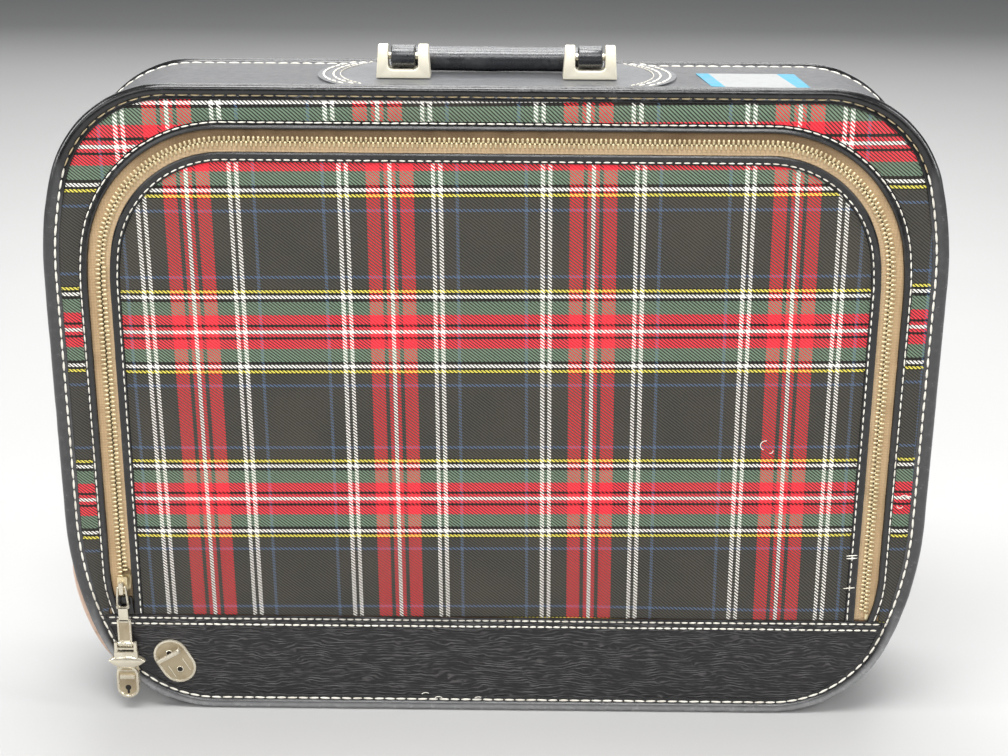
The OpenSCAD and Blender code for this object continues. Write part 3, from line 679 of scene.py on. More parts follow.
# The patch is the gusset's black vinyl, its colour painted lighter: a painted sheen
patch_vinyl = grained_vinyl("patch_vinyl", (46, 48, 53), (94, 98, 106), 1.0, 0.16, 0.42, 0.35, dust=0.24)
bare_backing = grained_vinyl("bare_backing", (206, 178, 160), (150, 122, 104), 0.7, 0.1, 0.8, 0.6)
strip_vinyl = creased_vinyl("strip_vinyl")
grip_vinyl = grained_vinyl("grip_vinyl", (32, 33, 37), (100, 102, 102), 0.5, 0.06, 0.28, 0.3, 1.0)
white_thread = twisted_thread("white_thread", (244, 240, 228), (168, 156, 134))
# A tan copy of the white thread: painted shade for the stitches along the top
shaded_thread = twisted_thread("shaded_thread", (196, 178, 140), (120, 100, 72))
tape_cloth = woven_tape("tape_cloth", (212, 184, 146), (142, 112, 78))
# The outer tape, with painted shade along the top
top_shaded_tape = woven_tape("top_shaded_tape", (204, 174, 134), (138, 108, 74), 0.85)
zip_brass = aged_metal("zip_brass", (230, 214, 174), (140, 110, 70), 0.65, 0.3)
cream_cast = aged_metal("cream_cast", (242, 236, 216), (204, 190, 152), 0.15, 0.34)
# Two copies of one nickel. Rims, staple, wings and bars take the brighter: partly a painted highlight. The sunk
# middles take a rougher, darker satin: partly tarnish, partly painted shade
aged_nickel = aged_metal("aged_nickel", (226, 218, 198), (160, 140, 108), 0.8, 0.24)
dull_nickel = aged_metal("dull_nickel", (182, 168, 140), (120, 92, 56), 0.55, 0.4)
bright_steel = aged_metal("bright_steel", (196, 196, 192), (118, 108, 96), 0.9, 0.35)
hardboard = fibre_board("hardboard")
lining = lining_cloth("lining_cloth")
keyhole_dark = keyhole_shade()
label_paper = paper()


def covered_gusset():
    """The vinyl band round the sides, pulled a little slack between the pipings."""
    half = 37.9
    across = spread(half, 14)
    outer = [(GUSSET_IN + 0.35*cos(y/half*pi/2), y) for y in across]
    inner = [(2.55, y) for y in reversed(across)]
    bm = ring(outer + inner)
    for v in bm.verts:
        if inset_of(v.co) < 2.3:
            v.co.y += 0.15*noise.noise(v.co/9)
    piece("gusset_band", bm, "case", gusset_vinyl, ["gusset_cover"])


def draw_up(bm):
    """Draws the welt's flange and its stitches closer to the cord along the top."""
    for v in bm.verts:
        out = Vector((v.co.x - max(-TOP_TIGHT.x, min(TOP_TIGHT.x, v.co.x)), 0, v.co.z - TOP_TIGHT.z))
        if out.z > 0:
            share = min(1, out.z/out.length)*max(0, min(1, (inset_of(v.co) - FLANGE_IN)/1.2))
            v.co += out.normalized()*1.1*share


def welt(name, side, node):
    """A piping cord in a folded vinyl welt, with its stitched flange on the face."""
    cord = [(CORD_R + CORD_R*cos(a), CORD_Y - CORD_R*sin(a)) for a in map(radians, range(38, 327, 18))]
    flange = [(8.5, -42.7), (8.8, -43.0), (8.6, -43.4), (7.9, -43.5), (7.1, -43.2), (6.5, -43.1), (6.0, -43.05)]
    bm = ring([(inset, side*y) for inset, y in flange + cord])
    draw_up(bm)
    uneven(bm, 11, 0.22, side)
    piece(name, bm, "case", welt_vinyl, [node])


def peeled_strip():
    """The bare edge that shows where the covering has peeled along the lower left corner."""
    bm = bmesh.new()
    start = LOW_TIGHT + rotation(radians(PEEL_FROM_DEG), 3, "Y") @ Vector((LOW_R, 0, 0))
    strip = [(-1.2, -42.2), (1.0, -42.4), (2.0, -41.6), (1.7, -40.2), (-1.2, -39.6)]
    out = (start - LOW_TIGHT).normalized()
    section = chain(bm, [start + out*d + Vector((0, y, 0)) for d, y in strip])
    path = [("turn", LOW_TIGHT, PEEL_FROM_DEG - LOW_SOFT_DEG, 10), ("turn", LOW_SOFT, PEEL_SOFT_DEG, 20)]
    sweep(bm, section, path, radians(90 - PEEL_FROM_DEG))
    close_ends(bm)
    low, high = min(v.co.z for v in bm.verts), max(v.co.z for v in bm.verts)
    for v in bm.verts:
        out = Vector((v.co.x - LOW_TIGHT.x, 0, v.co.z - LOW_TIGHT.z)).normalized()
        v.co -= out*2.4*(1 - sin(pi*(v.co.z - low)/(high - low))**0.6)
    resize(bm, (-1, 1, 1))
    piece("peeled_edge", bm, "case", bare_backing)


def dash(bm, at, turn, size):
    """One rounded dash of thread."""
    bmesh.ops.create_uvsphere(bm, u_segments=7, v_segments=5, radius=1,
                              matrix=shift(at) @ turn @ Matrix.Diagonal((*size, 1)) @ rotation(pi/2, 4, "Y"))


def sew(bm, rng, places, length, wide, tall, on_band=False):
    """A dash at each place, flat on the front, on the back or on the band round the sides."""
    for at, heading in places:
        turn = rotation(-heading + rng.uniform(-0.05, 0.05), 4, "Y")
        long = length/2*rng.uniform(0.93, 1.05)
        dash(bm, at, turn, (long, wide/2, tall) if on_band else (long, tall, wide/2))


def ring_line(inset, y, pitch):
    return both_halves(walk((0, y, inset), ROUND_THE_CASE, 0, pitch))


def arch_line(inset, y, foot, pitch):
    return both_halves(walk((HALF_W - inset, y, foot), up_the_zip(foot), pi/2, pitch))


def tucked(z):
    """How far the feet of the outer binding, and of what is sewn to it, swing in towards the zip at a height."""
    return TUCK_IN*((GAP_Z - z)/TUCK_SPAN)**2 if z < GAP_Z else 0


def tuck(bm):
    for v in bm.verts:
        v.co.x -= copysign(tucked(v.co.z), v.co.x)


def seam_line(z):
    """Places along one of the strip's seams, which wavers a little."""
    half = half_width(z, 9.5)
    count = round(2*half/4.3)
    for i in range(count):
        yield Vector((half*(2*(i + 0.5)/count - 1), SKIN_Y - 0.15, z + 0.3*noise.noise((i*0.05, z, 0)))), 0


def stitch_rows():
    """Each piece's rows of stitches, as (places, length, width, height), and what then draws them into place."""
    rng = random.Random(11)
    round_the_front = list(ring_line(WELT_SEAM_IN, -43.25, 6.0))
    # The stitches high on the welt take the tan thread: painted shade on white thread
    below = [place for place in round_the_front if place[0].z < SHADED_SEAM_Z]
    above = [place for place in round_the_front if place[0].z >= SHADED_SEAM_Z]
    darts = [(Vector((190.6, -43.5, z)), 0.1) for z in (95.8, 94.2, 76.7)]
    for name, body, thread, settle, rows in (
            ("welt_stitches", "case", white_thread, draw_up, [(below, 5.5, 1.25, 0.45)]),
            ("top_welt_stitches", "case", shaded_thread, draw_up, [(above, 4.9, 0.85, 0.45)]),
            ("back_stitches", "case", white_thread, draw_up, [
                (ring_line(GUSSET_IN + 0.1, 33.6, 6.5), 5.7, 1.2, 0.7, True),
                (ring_line(WELT_SEAM_IN, 43.25, 6.0), 5.2, 1.0, 0.4)]),
            ("outer_binding_stitches", "case", white_thread, tuck, [
                (arch_line(18.6, -43.35, STRIP_TOP, 4.7), 4.2, 0.8, 0.45)]),
            ("inner_binding_stitches", "flap", white_thread, None, [
                (arch_line(37.2, -43.3, FLAP_FOOT, 4.4), 3.4, 0.75, 0.35), (darts, 6.5, 0.7, 0.35)]),
            ("strip_stitches", "case", white_thread, None, [(seam_line(z), 3.8, 1.1, 0.45) for z in STRIP_SEAMS])):
        bm = bmesh.new()
        for row in rows:
            sew(bm, rng, *row)
        if settle:
            settle(bm)
        piece(name, bm, body, thread)


def border_cloth():
    """The tartan ring between the piping and the outer zip binding."""
    bm = bmesh.new()
    r = SOFT_R - BORDER_OUT
    drop = asin((LOW_SOFT.z - STRIP_TOP)/r)
    foot = bm.verts.new((LOW_SOFT.x + r*cos(drop), SKIN_Y + 0.4, STRIP_TOP))
    side = ("run", TOP_SOFT.z - LOW_SOFT.z, 24)
    sweep(bm, [foot], [("turn", LOW_SOFT, degrees(drop), 10), side] + OVER_THE_TOP, pi/2 - drop)
    foot = bm.verts.new((HALF_W - BORDER_IN, SKIN_Y + 0.2, STRIP_TOP))
    side = ("run", ZIP_SOFT.z - LOW_SOFT.z, 24)
    sweep(bm, [foot], [("run", LOW_SOFT.z - STRIP_TOP, 10), side] + OVER_THE_ZIP, pi/2)
    rims = set(bm.edges)
    bmesh.ops.bridge_loops(bm, edges=bm.edges[:])
    bmesh.ops.subdivide_edges(bm, edges=[e for e in bm.edges if e not in rims], cuts=6, use_grid_fill=True)
    for v in bm.verts:
        inset = inset_of(v.co)
        outer = max(inset - BORDER_OUT, 0)
        inner = max(BORDER_IN - inset_of(v.co, ZIP_TOP), 0)
        v.co.y -= 0.9*sin(pi*outer/(outer + inner + 0.001))
        v.co.x -= tucked(v.co.z)*min(1, max(0, (inset - 7)/11))
    mirror_half(bm)
    thicken(bm, (0, 1.2, 0))
    made = piece("border_cloth", bm, "case", tartan_border, ["front_border"])


def flap_cloth():
    """The flap's tartan, filled out towards its middle."""
    bm = panel(levels(FLAP_IN, FLAP_FOOT, top=ZIP_TOP), FLAP_IN, SKIN_Y + 0.5, 70, ZIP_TOP)
    for v in bm.verts:
        depth = min(inset_of(v.co, ZIP_TOP) - FLAP_IN, v.co.z - FLAP_FOOT)
        v.co.y -= 0.9*(1 - exp(-max(depth, 0)/9))
    thicken(bm, (0, 1.0, 0))
    made = piece("flap_cloth", bm, "flap", tartan_flap, ["flap_cover"])


def back_cloth():
    bm = panel(levels(BACK_IN), BACK_IN, -SKIN_Y - 0.6, 60)
    for v in bm.verts:
        v.co.y += 0.8*(1 - exp(-max(inset_of(v.co) - BACK_IN, 0)/12))
    thicken(bm, (0, -1.0, 0))
    made = piece("back_cloth", bm, "case", tartan_back, ["back_cover"])


def strip_hem(z):
    """How far the strip's face stands out at a height: a folded hem on top, drawn in by two rows of stitches."""
    fold = 0.6*exp(-((z - 56.2)/0.5)**2)
    rows = sum(exp(-((z - row)/0.8)**2) for row in STRIP_SEAMS)
    ease = 0.35 if z > 49.4 else 0.35*exp(-(49.4 - z)/1.2)
    return ease + fold - 0.3*rows


def front_strip():
    heights = levels(STRIP_IN, high=46) + [47 + 0.5*i for i in range(20)]
    bm = panel(heights, STRIP_IN, SKIN_Y + 0.1, 150)
    for v in bm.verts:
        v.co.y -= strip_hem(v.co.z) + 0.35*noise.noise((v.co.x/45, 0, v.co.z/6)) + 0.3*exp(
            -((v.co.z - 28)/18)**2)
    thicken(bm, (0, 1.2, 0))
    made = piece("strip_band", bm, "case", strip_vinyl, ["front_strip"])


def zip_bindings():
    """Folded vinyl bindings: stitched flat on the cloth side, rolled over on the zip side."""
    outer = [(17.4, -42.6), (17.7, -43.1), (18.5, -43.25), (19.3, -43.1), (20.2, -43.35), (21.1, -43.75),
             (21.8, -43.5), (22.2, -42.7), (21.9, -41.9), (21.2, -41.6), (17.6, -41.7)]
    inner = [(33.3, -42.7), (33.6, -43.4), (34.4, -43.75), (35.4, -43.35), (36.4, -43.1), (37.2, -43.2),
             (38.2, -43.15), (38.5, -42.6), (38.2, -41.8), (34.5, -41.6), (33.6, -41.9)]
    for side, body, section, foot in (("outer", "case", outer, STRIP_TOP), ("inner", "flap", inner, FLAP_FOOT)):
        bm = arch(section, foot)
        if section is outer:
            tuck(bm)
        uneven(bm, 9, 0.15, 5)
        piece(side + "_zip_binding", bm, body, welt_vinyl, ["zip_binding_" + side])


def zip_tapes():
    bm = arch([(14.2, -41.5), (20, -41.5), (23, -41.45), (27.8, -41.2), (27.8, -40.7), (14.2, -40.6)], STRIP_TOP)
    uneven(bm, 14, 0.12, 2)
    made = piece("outer_zip_tape", bm, "case", top_shaded_tape, ["zip_tape_outer"])
    bm = arch([(29, -41.2), (33, -41.5), (40.6, -41.5), (40.6, -40.7), (29, -40.7)], FLAP_FOOT)
    for v in bm.verts:
        if v.co.x < GAP_X and v.co.z < GAP_Z:
            v.co.x = GAP_X
    made = piece("inner_zip_tape", bm, "flap", tape_cloth, ["zip_tape_inner"])


def tooth_row(name, body, side, first, node):
    """Cast teeth, one row leaning over the zip's middle from each tape, and held apart where the slider runs."""
    bm = bmesh.new()
    places = both_halves(walk((ZIP_X, TOOTH_Y, TOOTH_FOOT), up_the_zip(TOOTH_FOOT), pi/2, TOOTH_PITCH, first))
    for at, heading in places:
        by_slider = side > 0 and at.x < 0
        if by_slider and at.z < GAP_Z:
            continue
        inward = Vector((-sin(heading), 0, cos(heading)))
        if at.x < -0.01:
            inward = -inward
        at = at + inward*side*(TOOTH_OFF_SLIDER if by_slider and at.z < SLIDER_TOP_Z else TOOTH_OFF)
        bmesh.ops.create_cube(bm, size=1, matrix=shift(at) @ rotation(-heading, 4, "Y") @
                              Matrix.Diagonal((1.15, 2.6, 2.8, 1)))
    soften(bm, bm.edges[:], 0.3, 1)
    piece(name, bm, body, zip_brass, [node], crease=60)


def zip_stops():
    bm = bmesh.new()
    for side in (-1, 1):
        join(bm, box((-1, -42.3, 56.9), (1, -39.7, 60.8)), shift((side*(ZIP_X + 1.6), 0, 0)))
    piece("zip_stops", bm, "case", zip_brass, ["zip_end_stops"])


def zip_foot():
    """A tab of vinyl sewn over the zip's end under the slider, and tabs of tape behind both ends."""
    bm = bmesh.new()
    join(bm, slab([(-206.5, 56.2), (-194.5, 56.2), (-195.2, 67.5), (-204.4, 67.5)], 1.6, 1.2),
         shift((0, SKIN_Y - 0.2, 0)))
    piece("zip_foot_tab", bm, "case", welt_vinyl)
    bm = bmesh.new()
    join(bm, box((197.9, -41.05, 56.3), (203, -40.75, 62.5), 0.1))
    join(bm, box((-206, -38.2, 58), (-195.7, -37.8, 88), 0.1))
    piece("zip_end_tabs", bm, "case", tape_cloth)


def fold_cloth():
    """The cloth inside the flap's fold, from the frame to the flap's lining."""
    bm = panel([44 + 1.25*i for i in range(20)], ZIP_IN + 0.5, -36.9, 40, ZIP_TOP)
    for v in bm.verts:
        v.co.x = max(v.co.x, -193.4)
        v.co.y += 0.15*noise.noise((v.co.x/25, 0, v.co.z/7))
    thicken(bm, (0, 0.5, 0))
    made = piece("fold_cloth", bm, None, tape_cloth, ["fold_tape"])
    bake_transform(made)


def linings():
    bm = panel(levels(6.9, pace=12), 6.9, 36.6, 40)
    thicken(bm, (0, 0.4, 0))
    made = piece("back_lining_cloth", bm, "case", lining, ["back_lining"])
    bm = panel(levels(33.9, FLAP_FOOT, pace=12, top=ZIP_TOP), 33.9, -37.9, 40, ZIP_TOP)
    thicken(bm, (0, 0.4, 0))
    made = piece("flap_lining_cloth", bm, "flap", lining, ["flap_lining"])
    across = spread(36.9, 8)
    bm = ring([(6.4, y) for y in across] + [(6.8, y) for y in reversed(across)])
    made = piece("gusset_lining_cloth", bm, "case", lining, ["gusset_lining"])


def patch_end(y):
    """Half the patch's length at a depth: its ends are bowed."""
    span, bow = 37.65, 16
    r = (span*span + bow*bow)/(2*bow)
    return 91 - r + sqrt(r*r - y*y)


def handle_patch():
    """The doubled vinyl under the handle, with three rows of stitches along each bowed end."""
    bm = row_by_row(spread(37.6, 22), patch_end, Vector((0, 0, PATCH_Z - 0.1)), Vector((0, 1, 0)), 60)
    for v in bm.verts:
        v.co.z += 0.25*noise.noise((v.co.x/30, v.co.y/22, 3)) - 0.2
    thicken(bm, (0, 0, -0.9))
    piece("handle_patch_vinyl", bm, "case", patch_vinyl, ["handle_patch"])
    rng = random.Random(5)
    bm = bmesh.new()
    for side in (-1, 1):
        for back, count, long, wide in ((3.0, 13, 5.2, 1.1), (8.0, 13, 5.2, 1.1), (11.5, 22, 3.3, 0.5)):
            for i in range(count):
                y = -35.5 + 71*(i + 0.5)/count
                slope = (patch_end(y + 0.1) - patch_end(y - 0.1))/0.2
                turn = rotation(atan2(1, side*slope) + rng.uniform(-0.06, 0.06), 4, "Z")
                dash(bm, (side*(patch_end(y) - back), y, PATCH_Z - 0.15), turn, (long/2, wide/2, 0.5))
    piece("patch_stitches", bm, "case", white_thread)


def bracket(name, x, node):
    """A cast bracket: a U whose two tapered ears are rounded over the pin."""
    bm = bmesh.new()
    bar, top = PATCH_Z + 4.4, PIN_Z + EAR_R
    outline = chain(bm, [(x + across, PIN_Y - EAR_HALF, z) for across, z in (
        (-13.5, PATCH_Z), (13.5, PATCH_Z), (12.5, top), (7.5, top), (7.5, bar), (-7.5, bar), (-7.5, top),
        (-12.5, top))])
    soften(bm, outline[4:6], 2.2, 5, "VERTICES")
    draw_on(bm, bm.verts[:] + bm.edges[:], (0, 2*EAR_HALF/16, 0), 16)
    close_ends(bm)
    for v in bm.verts:
        if v.co.z > PIN_Z:
            v.co.z = PIN_Z + sqrt(EAR_R**2 - (v.co.y - PIN_Y)**2)
    face_out(bm)
    soften(bm, creases(bm, 0.7), 0.8, 3, clamp=True)
    piece(name, bm, "case", cream_cast, [node])


def handle_pins():
    for name, x in (("left", -BRACKET_X), ("right", BRACKET_X)):
        bm = bmesh.new()
        join(bm, turned([(0, -12.6), (1.0, -12.55), (1.6, -12.1), (1.75, -11.6), (1.75, 11.6), (1.6, 12.1),
                         (1.0, 12.55), (0, 12.6)], 18), lying_across(x, PIN_Y, PIN_Z))
        piece("pin_" + name, bm, "case", aged_nickel, ["handle_pin_" + name])


def grip():
    """The padded vinyl grip with a knuckle at each end that turns on its pin."""
    bm = bmesh.new()
    centre = Vector((0, 5, 349.95))
    spots = []
    for i in range(24):
        c, s = cos(2*pi*i/24), sin(2*pi*i/24)
        spots.append(Vector((0, 6.9*copysign(abs(c)**0.85, c), 6.1*copysign(abs(s)**0.85, s))))
    end = [(54, 0.5), (53.6, 0.72), (52.6, 0.88), (51, 0.96)]
    stations = [(-x, size) for x, size in end] + [(x, 1.0) for x in range(-48, 49, 4)] + end[::-1]
    loft(bm, spots, stations, centre)
    uneven(bm, 16, 0.3, 4)
    drop = atan2(ARM_DROP, ARM_LONG)
    hub = Vector((0, PIN_Y, PIN_Z))
    for x in (-BRACKET_X, BRACKET_X):
        part = bmesh.new()
        tip = part.verts.new(hub + rotation(drop + radians(36), 3, "X") @ Vector((0, 5.55, 0)))
        last = bmesh.ops.spin(part, geom=[tip], cent=hub, axis=(1, 0, 0), angle=radians(288), steps=22)["geom_last"]
        arm = [part.verts.new(hub + rotation(drop, 3, "X") @ Vector((0, ARM_LONG, side*3.2))) for side in (-1, 1)]
        for ends in ((verts_of(last)[0], arm[0]), arm, (arm[1], tip)):
            part.edges.new(ends)
        bmesh.ops.contextual_create(part, geom=part.edges[:])
        thicken(part, (12, 0, 0))
        face_out(part)
        soften(part, creases(part), 0.7, 3)
        join(bm, part, shift((x - 6, 0, 0)))
    made = piece("grip", bm, "handle", grip_vinyl, ["handle_grip"])


def refinish(bm, first, finish=1):
    """Gives the faces from the first one on another of the piece's finishes."""
    bm.faces.ensure_lookup_table()
    for face in bm.faces[first:]:
        face.material_index = finish


HASP = shift((-174, 0, 29)) @ rotation(radians(-30), 4, "Y")


def on_plate(z=0):
    """A place on the catch plate's face, so far along from its middle."""
    return HASP @ shift((0, SKIN_Y - 1.2, z))


def catch_plate():
    """The oval plate that the lock closes on, with its staple and eyelets."""
    bm = bmesh.new()
    join(bm, slab(oblong(9.5, -13.5, 13.5), 1.2, 9.49, 0.4, rim=0.9, sunk=0.15), on_plate())
    for side in (-1, 1):
        join(bm, box((side*4.6 - 0.3, SKIN_Y - 1.3, -9), (side*4.6 + 0.3, SKIN_Y - 0.8, -0.5), 0.15), HASP)
    piece("catch_plate_oval", bm, "case", (aged_nickel, dull_nickel), ["catch_plate"])

    bm = bmesh.new()
    part = bmesh.new()
    strap = chain(part, [(-7.3, 0, -1.2), (-7.3, -4.8, -1.2), (7.3, -4.8, -1.2), (7.3, 0, -1.2)], closed=False)
    soften(part, strap[1:3], 1.6, 5, "VERTICES")
    draw_on(part, part.verts[:] + part.edges[:], (0, 0, 2.4))
    face_out(part)
    bmesh.ops.solidify(part, geom=part.faces[:], thickness=0.95)
    soften(part, creases(part), 0.25)
    join(bm, part, on_plate(5.5))
    piece("catch_staple_strap", bm, "case", aged_nickel, ["catch_staple"])

    bm = bmesh.new()
    ends = -5.5, 5.5
    for end in ends:
        join(bm, turned([(0.85, 6.6), (1.3, 0.2), (1.45, -0.25), (1.75, -0.3), (2.0, -0.05), (2.0, 0.2), (1.38, 0.3),
                         (1.38, 7.2), (2.8, 7.2), (2.8, 7.6), (0.85, 7.6), (0.85, 6.6)]), on_plate(end))
    # Dark discs down the eyelets' bores: painted shade
    dark = len(bm.faces)
    for end in ends:
        join(bm, turned([(0, -0.08), (1.35, -0.08), (1.35, 0.6), (0, 0.6)]), on_plate(end))
    refinish(bm, dark)
    piece("catch_eyelets", bm, "case", (aged_nickel, keyhole_dark), ["catch_rivets"])


def slider():
    """The zip's slider: two plates with side flanges, and a bridge for the pull."""
    bm = bmesh.new()
    shield = [(-3.9, 5), (-3.9, -1), (-2.9, -5), (2.9, -5), (3.9, -1), (3.9, 5)]
    for front, narrow in ((-43.6, 0.7), (-39.4, 1)):
        join(bm, slab([(x*narrow, z) for x, z in shield], 1.0, 0.7), shift((0, front, 0)))
    for side in (-1, 1):
        join(bm, box((side*2.2 - 0.5, -43.4, -1.5), (side*2.2 + 0.5, -42.36, 4.8), 0.25))
        join(bm, box((side*3.4 - 0.5, -39.64, -1.5), (side*3.4 + 0.5, -38.6, 4.8), 0.25))
    join(bm, box((-0.3, -43.2, 2.2), (0.3, -38.8, 4.9), 0.1))
    bridge = len(bm.faces)
    join(bm, box((-1.2, -47.86, -3.5), (1.2, -46.95, 3.5), 0.4))
    for end in (-1, 1):
        join(bm, box((-1.2, -47.6, end*2.35 - 1.15), (1.2, -43.2, end*2.35 + 1.15), 0.35))
    refinish(bm, bridge)
    move(bm, (-ZIP_X, 0, SLIDER_Z))
    piece("slider_body", bm, "slider", (zip_brass, aged_nickel), ["zip_slider"])


def pull():
    """The pull: a wire loop on the slider, a neck and a plate that ends in an eye."""
    bm = bmesh.new()
    loop = slab([(-2.55, 0.9), (-3.7, -12.5), (3.7, -12.5), (2.55, 0.9)], 1.6, 1.1, 0)
    faces = [f for f in loop.faces if abs(f.normal.y) > 0.9]
    bmesh.ops.inset_region(loop, faces=faces, thickness=1.05, use_even_offset=True)
    inner = [f for f in loop.faces if f in faces]
    bmesh.ops.bridge_loops(loop, edges=[e for f in inner for e in f.edges])
    bmesh.ops.delete(loop, geom=inner, context="FACES_ONLY")
    face_out(loop)
    soften(loop, creases(loop), 0.42, 3)
    front = shift((0, HANG_Y - 0.8, 0))
    join(bm, loop, front)
    join(bm, slab(oblong(2.65, -20.6, -11.4), 1.6, 0.5), front)
    join(bm, slab(oblong(3.8, -32.2, -18.6), 1.6, 0.7, 0.35, rim=0.7, sunk=0.2), front)
    join(bm, turned([(0.9, -3.8), (1.35, -3.8), (1.6, -3.5), (1.6, 3.5), (1.35, 3.8), (0.9, 3.8), (0.9, -3.8)], 18),
         lying_across(0, HANG_Y, LOCK_Z - SLIDER_Z))
    move(bm, (-ZIP_X, 0, SLIDER_Z))
    piece("pull_plate", bm, "pull", (aged_nickel, dull_nickel), ["pull_link"])


def lock():
    """The lock's frame and hanging bar, its lens-shaped wings and its rimmed tongue."""
    front = HANG_Y - 1.6
    bm = bmesh.new()
    for side in (-1, 1):
        join(bm, box((side*5.25 - 0.95, front + 0.1, 31), (side*5.25 + 0.95, front + 2.4, 41.9), 0.6))
    join(bm, box((-6.45, front, 31), (6.45, front + 2.5, 36), 0.45))
    join(bm, box((-6.0, front + 0.2, 37.3), (6.0, front + 2.3, 38.5), 0.3))
    join(bm, turned([(0.8, -5), (0.8, 5)], 14), lying_across(0, HANG_Y, LOCK_Z))
    long, half = 20, 4.25
    r = (long**2 + (2*half)**2)/(8*half)
    stations = [(x, max((sqrt(r*r - x*x) - r + half)/half, 0.05)) for x in spread(long/2, 24)]
    spots = [Vector((0, -2.2*sin(a), half*cos(a))) for a in map(radians, range(0, 181, 15))]
    loft(bm, spots + [Vector((0, 1.5, -3.9)), Vector((0, 1.5, 3.9))], stations, Vector((0, front + 1, 29.95)))
    join(bm, slab(oblong(6, 7.95, 28), 2.5, 5.99, 0.35, rim=0.9, sunk=0.5), shift((0, front, 0)))
    join(bm, box((-3.9, front + 0.05, 24.3), (3.9, front + 0.8, 25.0), 0.2))
    # The keyhole is two thin dark shapes laid on the tongue: painted shade for its hollow
    dark = len(bm.faces)
    join(bm, slab(oblong(1.6, 12.6, 15.8), 0.3, 1.6, 0), shift((0, front + 0.44, 0)))
    join(bm, slab(oblong(0.65, 10.6, 14.5), 0.3, 0.3, 0), shift((0, front + 0.43, 0)))
    refinish(bm, dark, 2)
    move(bm, (-ZIP_X, 0, 0))
    piece("lock_body", bm, "lock", (aged_nickel, dull_nickel, keyhole_dark), ["lock_case"])
    bm = bmesh.new()
    join(bm, box((-4.1, -48.5, 19.85), (4.1, -46.3, 22.45), 0.45))
    move(bm, (-ZIP_X, 0, 0))
    piece("lock_catch_bar", bm, "catch", aged_nickel, ["lock_catch"])


def blank_label():
    """A blank paper label on the top, rubbed in patches."""
    bm = bmesh.new()
    join(bm, slab([(106, -30), (154.5, -37.3), (152.5, 10), (102, 10)], 0.5, 0.8, 0),
         shift((0, 0, CASE_H - GUSSET_IN + 0.02)) @ rotation(-pi/2, 4, "X"))
    piece("blank_label", bm, "case", label_paper)


def loose_threads():
    """Ends of thread that have worked out of the seams."""
    flap, case = bmesh.new(), bmesh.new()
    for bm, at, curl, start, angle in (
            (flap, (141, -44.0, 158.5), 2.6, 80, 170), (flap, (143.8, -44.0, 155.5), 1.3, 250, 120),
            (case, (215.5, -44.3, 128.5), 2.8, 20, 140), (case, (213.5, -44.3, 125.5), 1.6, 190, 150),
            (case, (-37, -44.0, 7.6), 3.4, 60, 70), (case, (-30, -44.0, 5.6), 3.0, 50, 80),
            (case, (-8, -44.0, 4.6), 4.0, 70, 50)):
        at = Vector(at)
        tail = [at + rotation(-radians(start), 3, "Y") @ Vector((curl + 0.2*cos(a), 0.2*sin(a), 0))
                for a in (2*pi*i/6 for i in range(6))]
        bmesh.ops.spin(bm, geom=chain(bm, tail), cent=at, axis=(0, -1, 0), angle=radians(angle), steps=12)
    for name, bm, body in (("flap_loose_thread", flap, "flap"), ("seam_loose_threads", case, "case")):
        close_ends(bm)
        piece(name, bm, body, white_thread)


covered_gusset()
welt("front_welt", 1, "front_piping")
welt("back_welt", -1, "back_piping")
peeled_strip()
stitch_rows()
border_cloth()
flap_cloth()
back_cloth()
front_strip()
zip_bindings()
zip_tapes()
tooth_row("outer_zip_teeth", "case", -1, 0.5, "zip_teeth_outer")
tooth_row("inner_zip_teeth", "flap", 1, 1.0, "zip_teeth_inner")
zip_stops()
zip_foot()
fold_cloth()
linings()
handle_patch()
bracket("bracket_left_cast", -BRACKET_X, "handle_bracket_left")
bracket("bracket_right_cast", BRACKET_X, "handle_bracket_right")
handle_pins()
grip()
catch_plate()
slider()
pull()
lock()
blank_label()
loose_threads()

for node, finish in {"gusset_board": hardboard, "back_board": hardboard, "front_frame": hardboard,
                     "flap_board": hardboard, "handle_backplate": bright_steel, "bracket_rivets": bright_steel,
                     "handle_core": bright_steel, "lock_back": aged_nickel}.items():
    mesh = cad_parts[node].data
    mesh.materials.clear()
    mesh.materials.append(finish)


# The studio and the camera are in metres
LIT_POINT, WORLD_LIGHT = Vector((0, 0, 0.17)), 0.22
CAMERA_AT, PAN, TILT, ROLL = (0.01055, -0.85872, 0.47853), 0.007, 0.3355, 0.0065
SENSOR, LENS = 36, 60.03


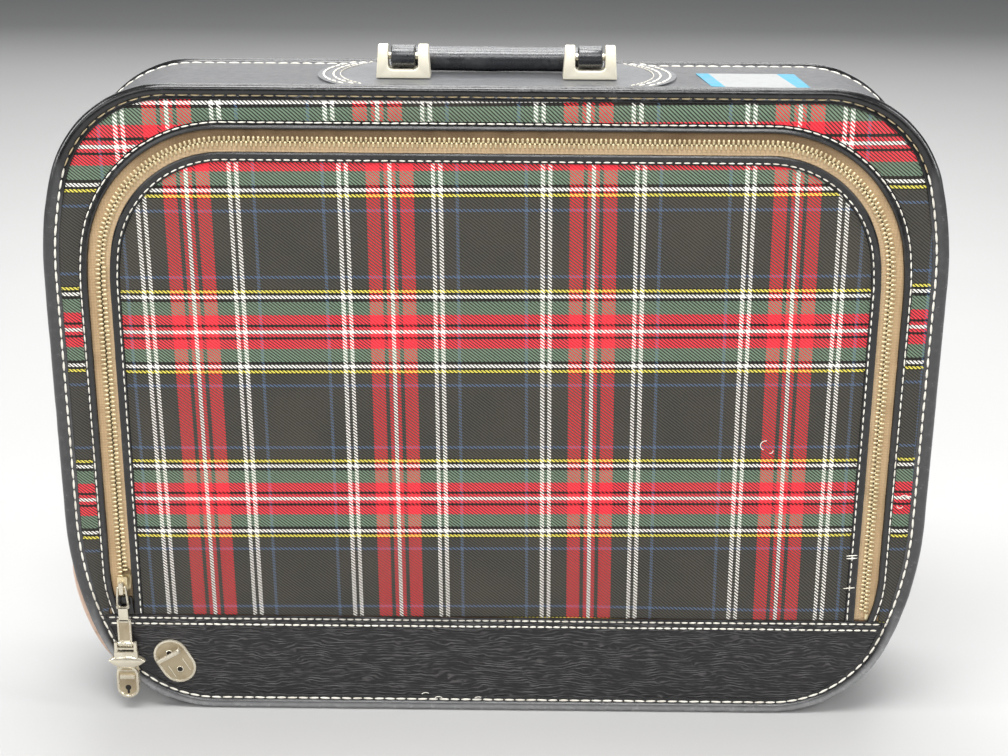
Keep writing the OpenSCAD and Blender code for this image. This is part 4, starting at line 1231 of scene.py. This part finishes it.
def studio():
    """A pale floor and soft light from above and in front."""
    f = Finish("pale_floor")
    f.done(Base_Color=f.mix(f.cloud(f.place(), 300, 3), (178, 178, 177), (184, 184, 183)), Roughness=0.9)
    bm = bmesh.new()
    bmesh.ops.create_grid(bm, x_segments=1, y_segments=1, size=6000)
    floor = piece("floor", bm, None, f.material)
    for name, at, wide, tall, watts in (
            ("overhead", (-0.2, -0.7, 2.1), 1.1, 0.7, 33), ("overhead_back", (0.1, 0.35, 2.1), 1.4, 0.6, 26),
            ("front_above", (0.1, -2.0, 1.5), 1.4, 0.5, 17), ("front_left", (-1.6, -2.0, 1.4), 1.2, 1.2, 9),
            ("front_right", (1.9, -1.7, 1.2), 1.1, 1.1, 6), ("behind", (0.1, 1.3, 1.7), 1.8, 0.8, 22),
            ("low_behind", (0, 2.4, 1.05), 4.4, 0.8, 18),
            ("left_strip", (-1.6, -0.4, 1.0), 0.3, 1.2, 12), ("right_strip", (1.6, -0.4, 1.0), 0.3, 1.2, 12)):
        lamp = bpy.data.lights.new(name, "AREA")
        lamp.shape, lamp.size, lamp.size_y, lamp.energy = "RECTANGLE", wide, tall, watts
        light = bpy.data.objects.new(name, lamp)
        light.location = at
        light.rotation_euler = (LIT_POINT - Vector(at)).to_track_quat("-Z", "Y").to_euler()
        bpy.context.scene.collection.objects.link(light)
    world = bpy.data.worlds.new("studio")
    world.use_nodes = True
    world.node_tree.nodes["Background"].inputs["Color"].default_value = srgb((226, 228, 232))
    world.node_tree.nodes["Background"].inputs["Strength"].default_value = WORLD_LIGHT
    bpy.context.scene.world = world
    bpy.context.scene.view_settings.view_transform = "Standard"


def camera():
    """The view that the case is dressed for."""
    lens_data = bpy.data.cameras.new("camera")
    lens_data.sensor_width, lens_data.lens = SENSOR, LENS
    made = bpy.data.objects.new("camera", lens_data)
    turned_to = rotation(PAN, 4, "Z") @ rotation(pi/2 - TILT, 4, "X") @ rotation(ROLL, 4, "Z")
    made.matrix_world = shift(CAMERA_AT) @ turned_to
    bpy.context.scene.collection.objects.link(made)
    bpy.context.scene.camera = made


studio()
camera()
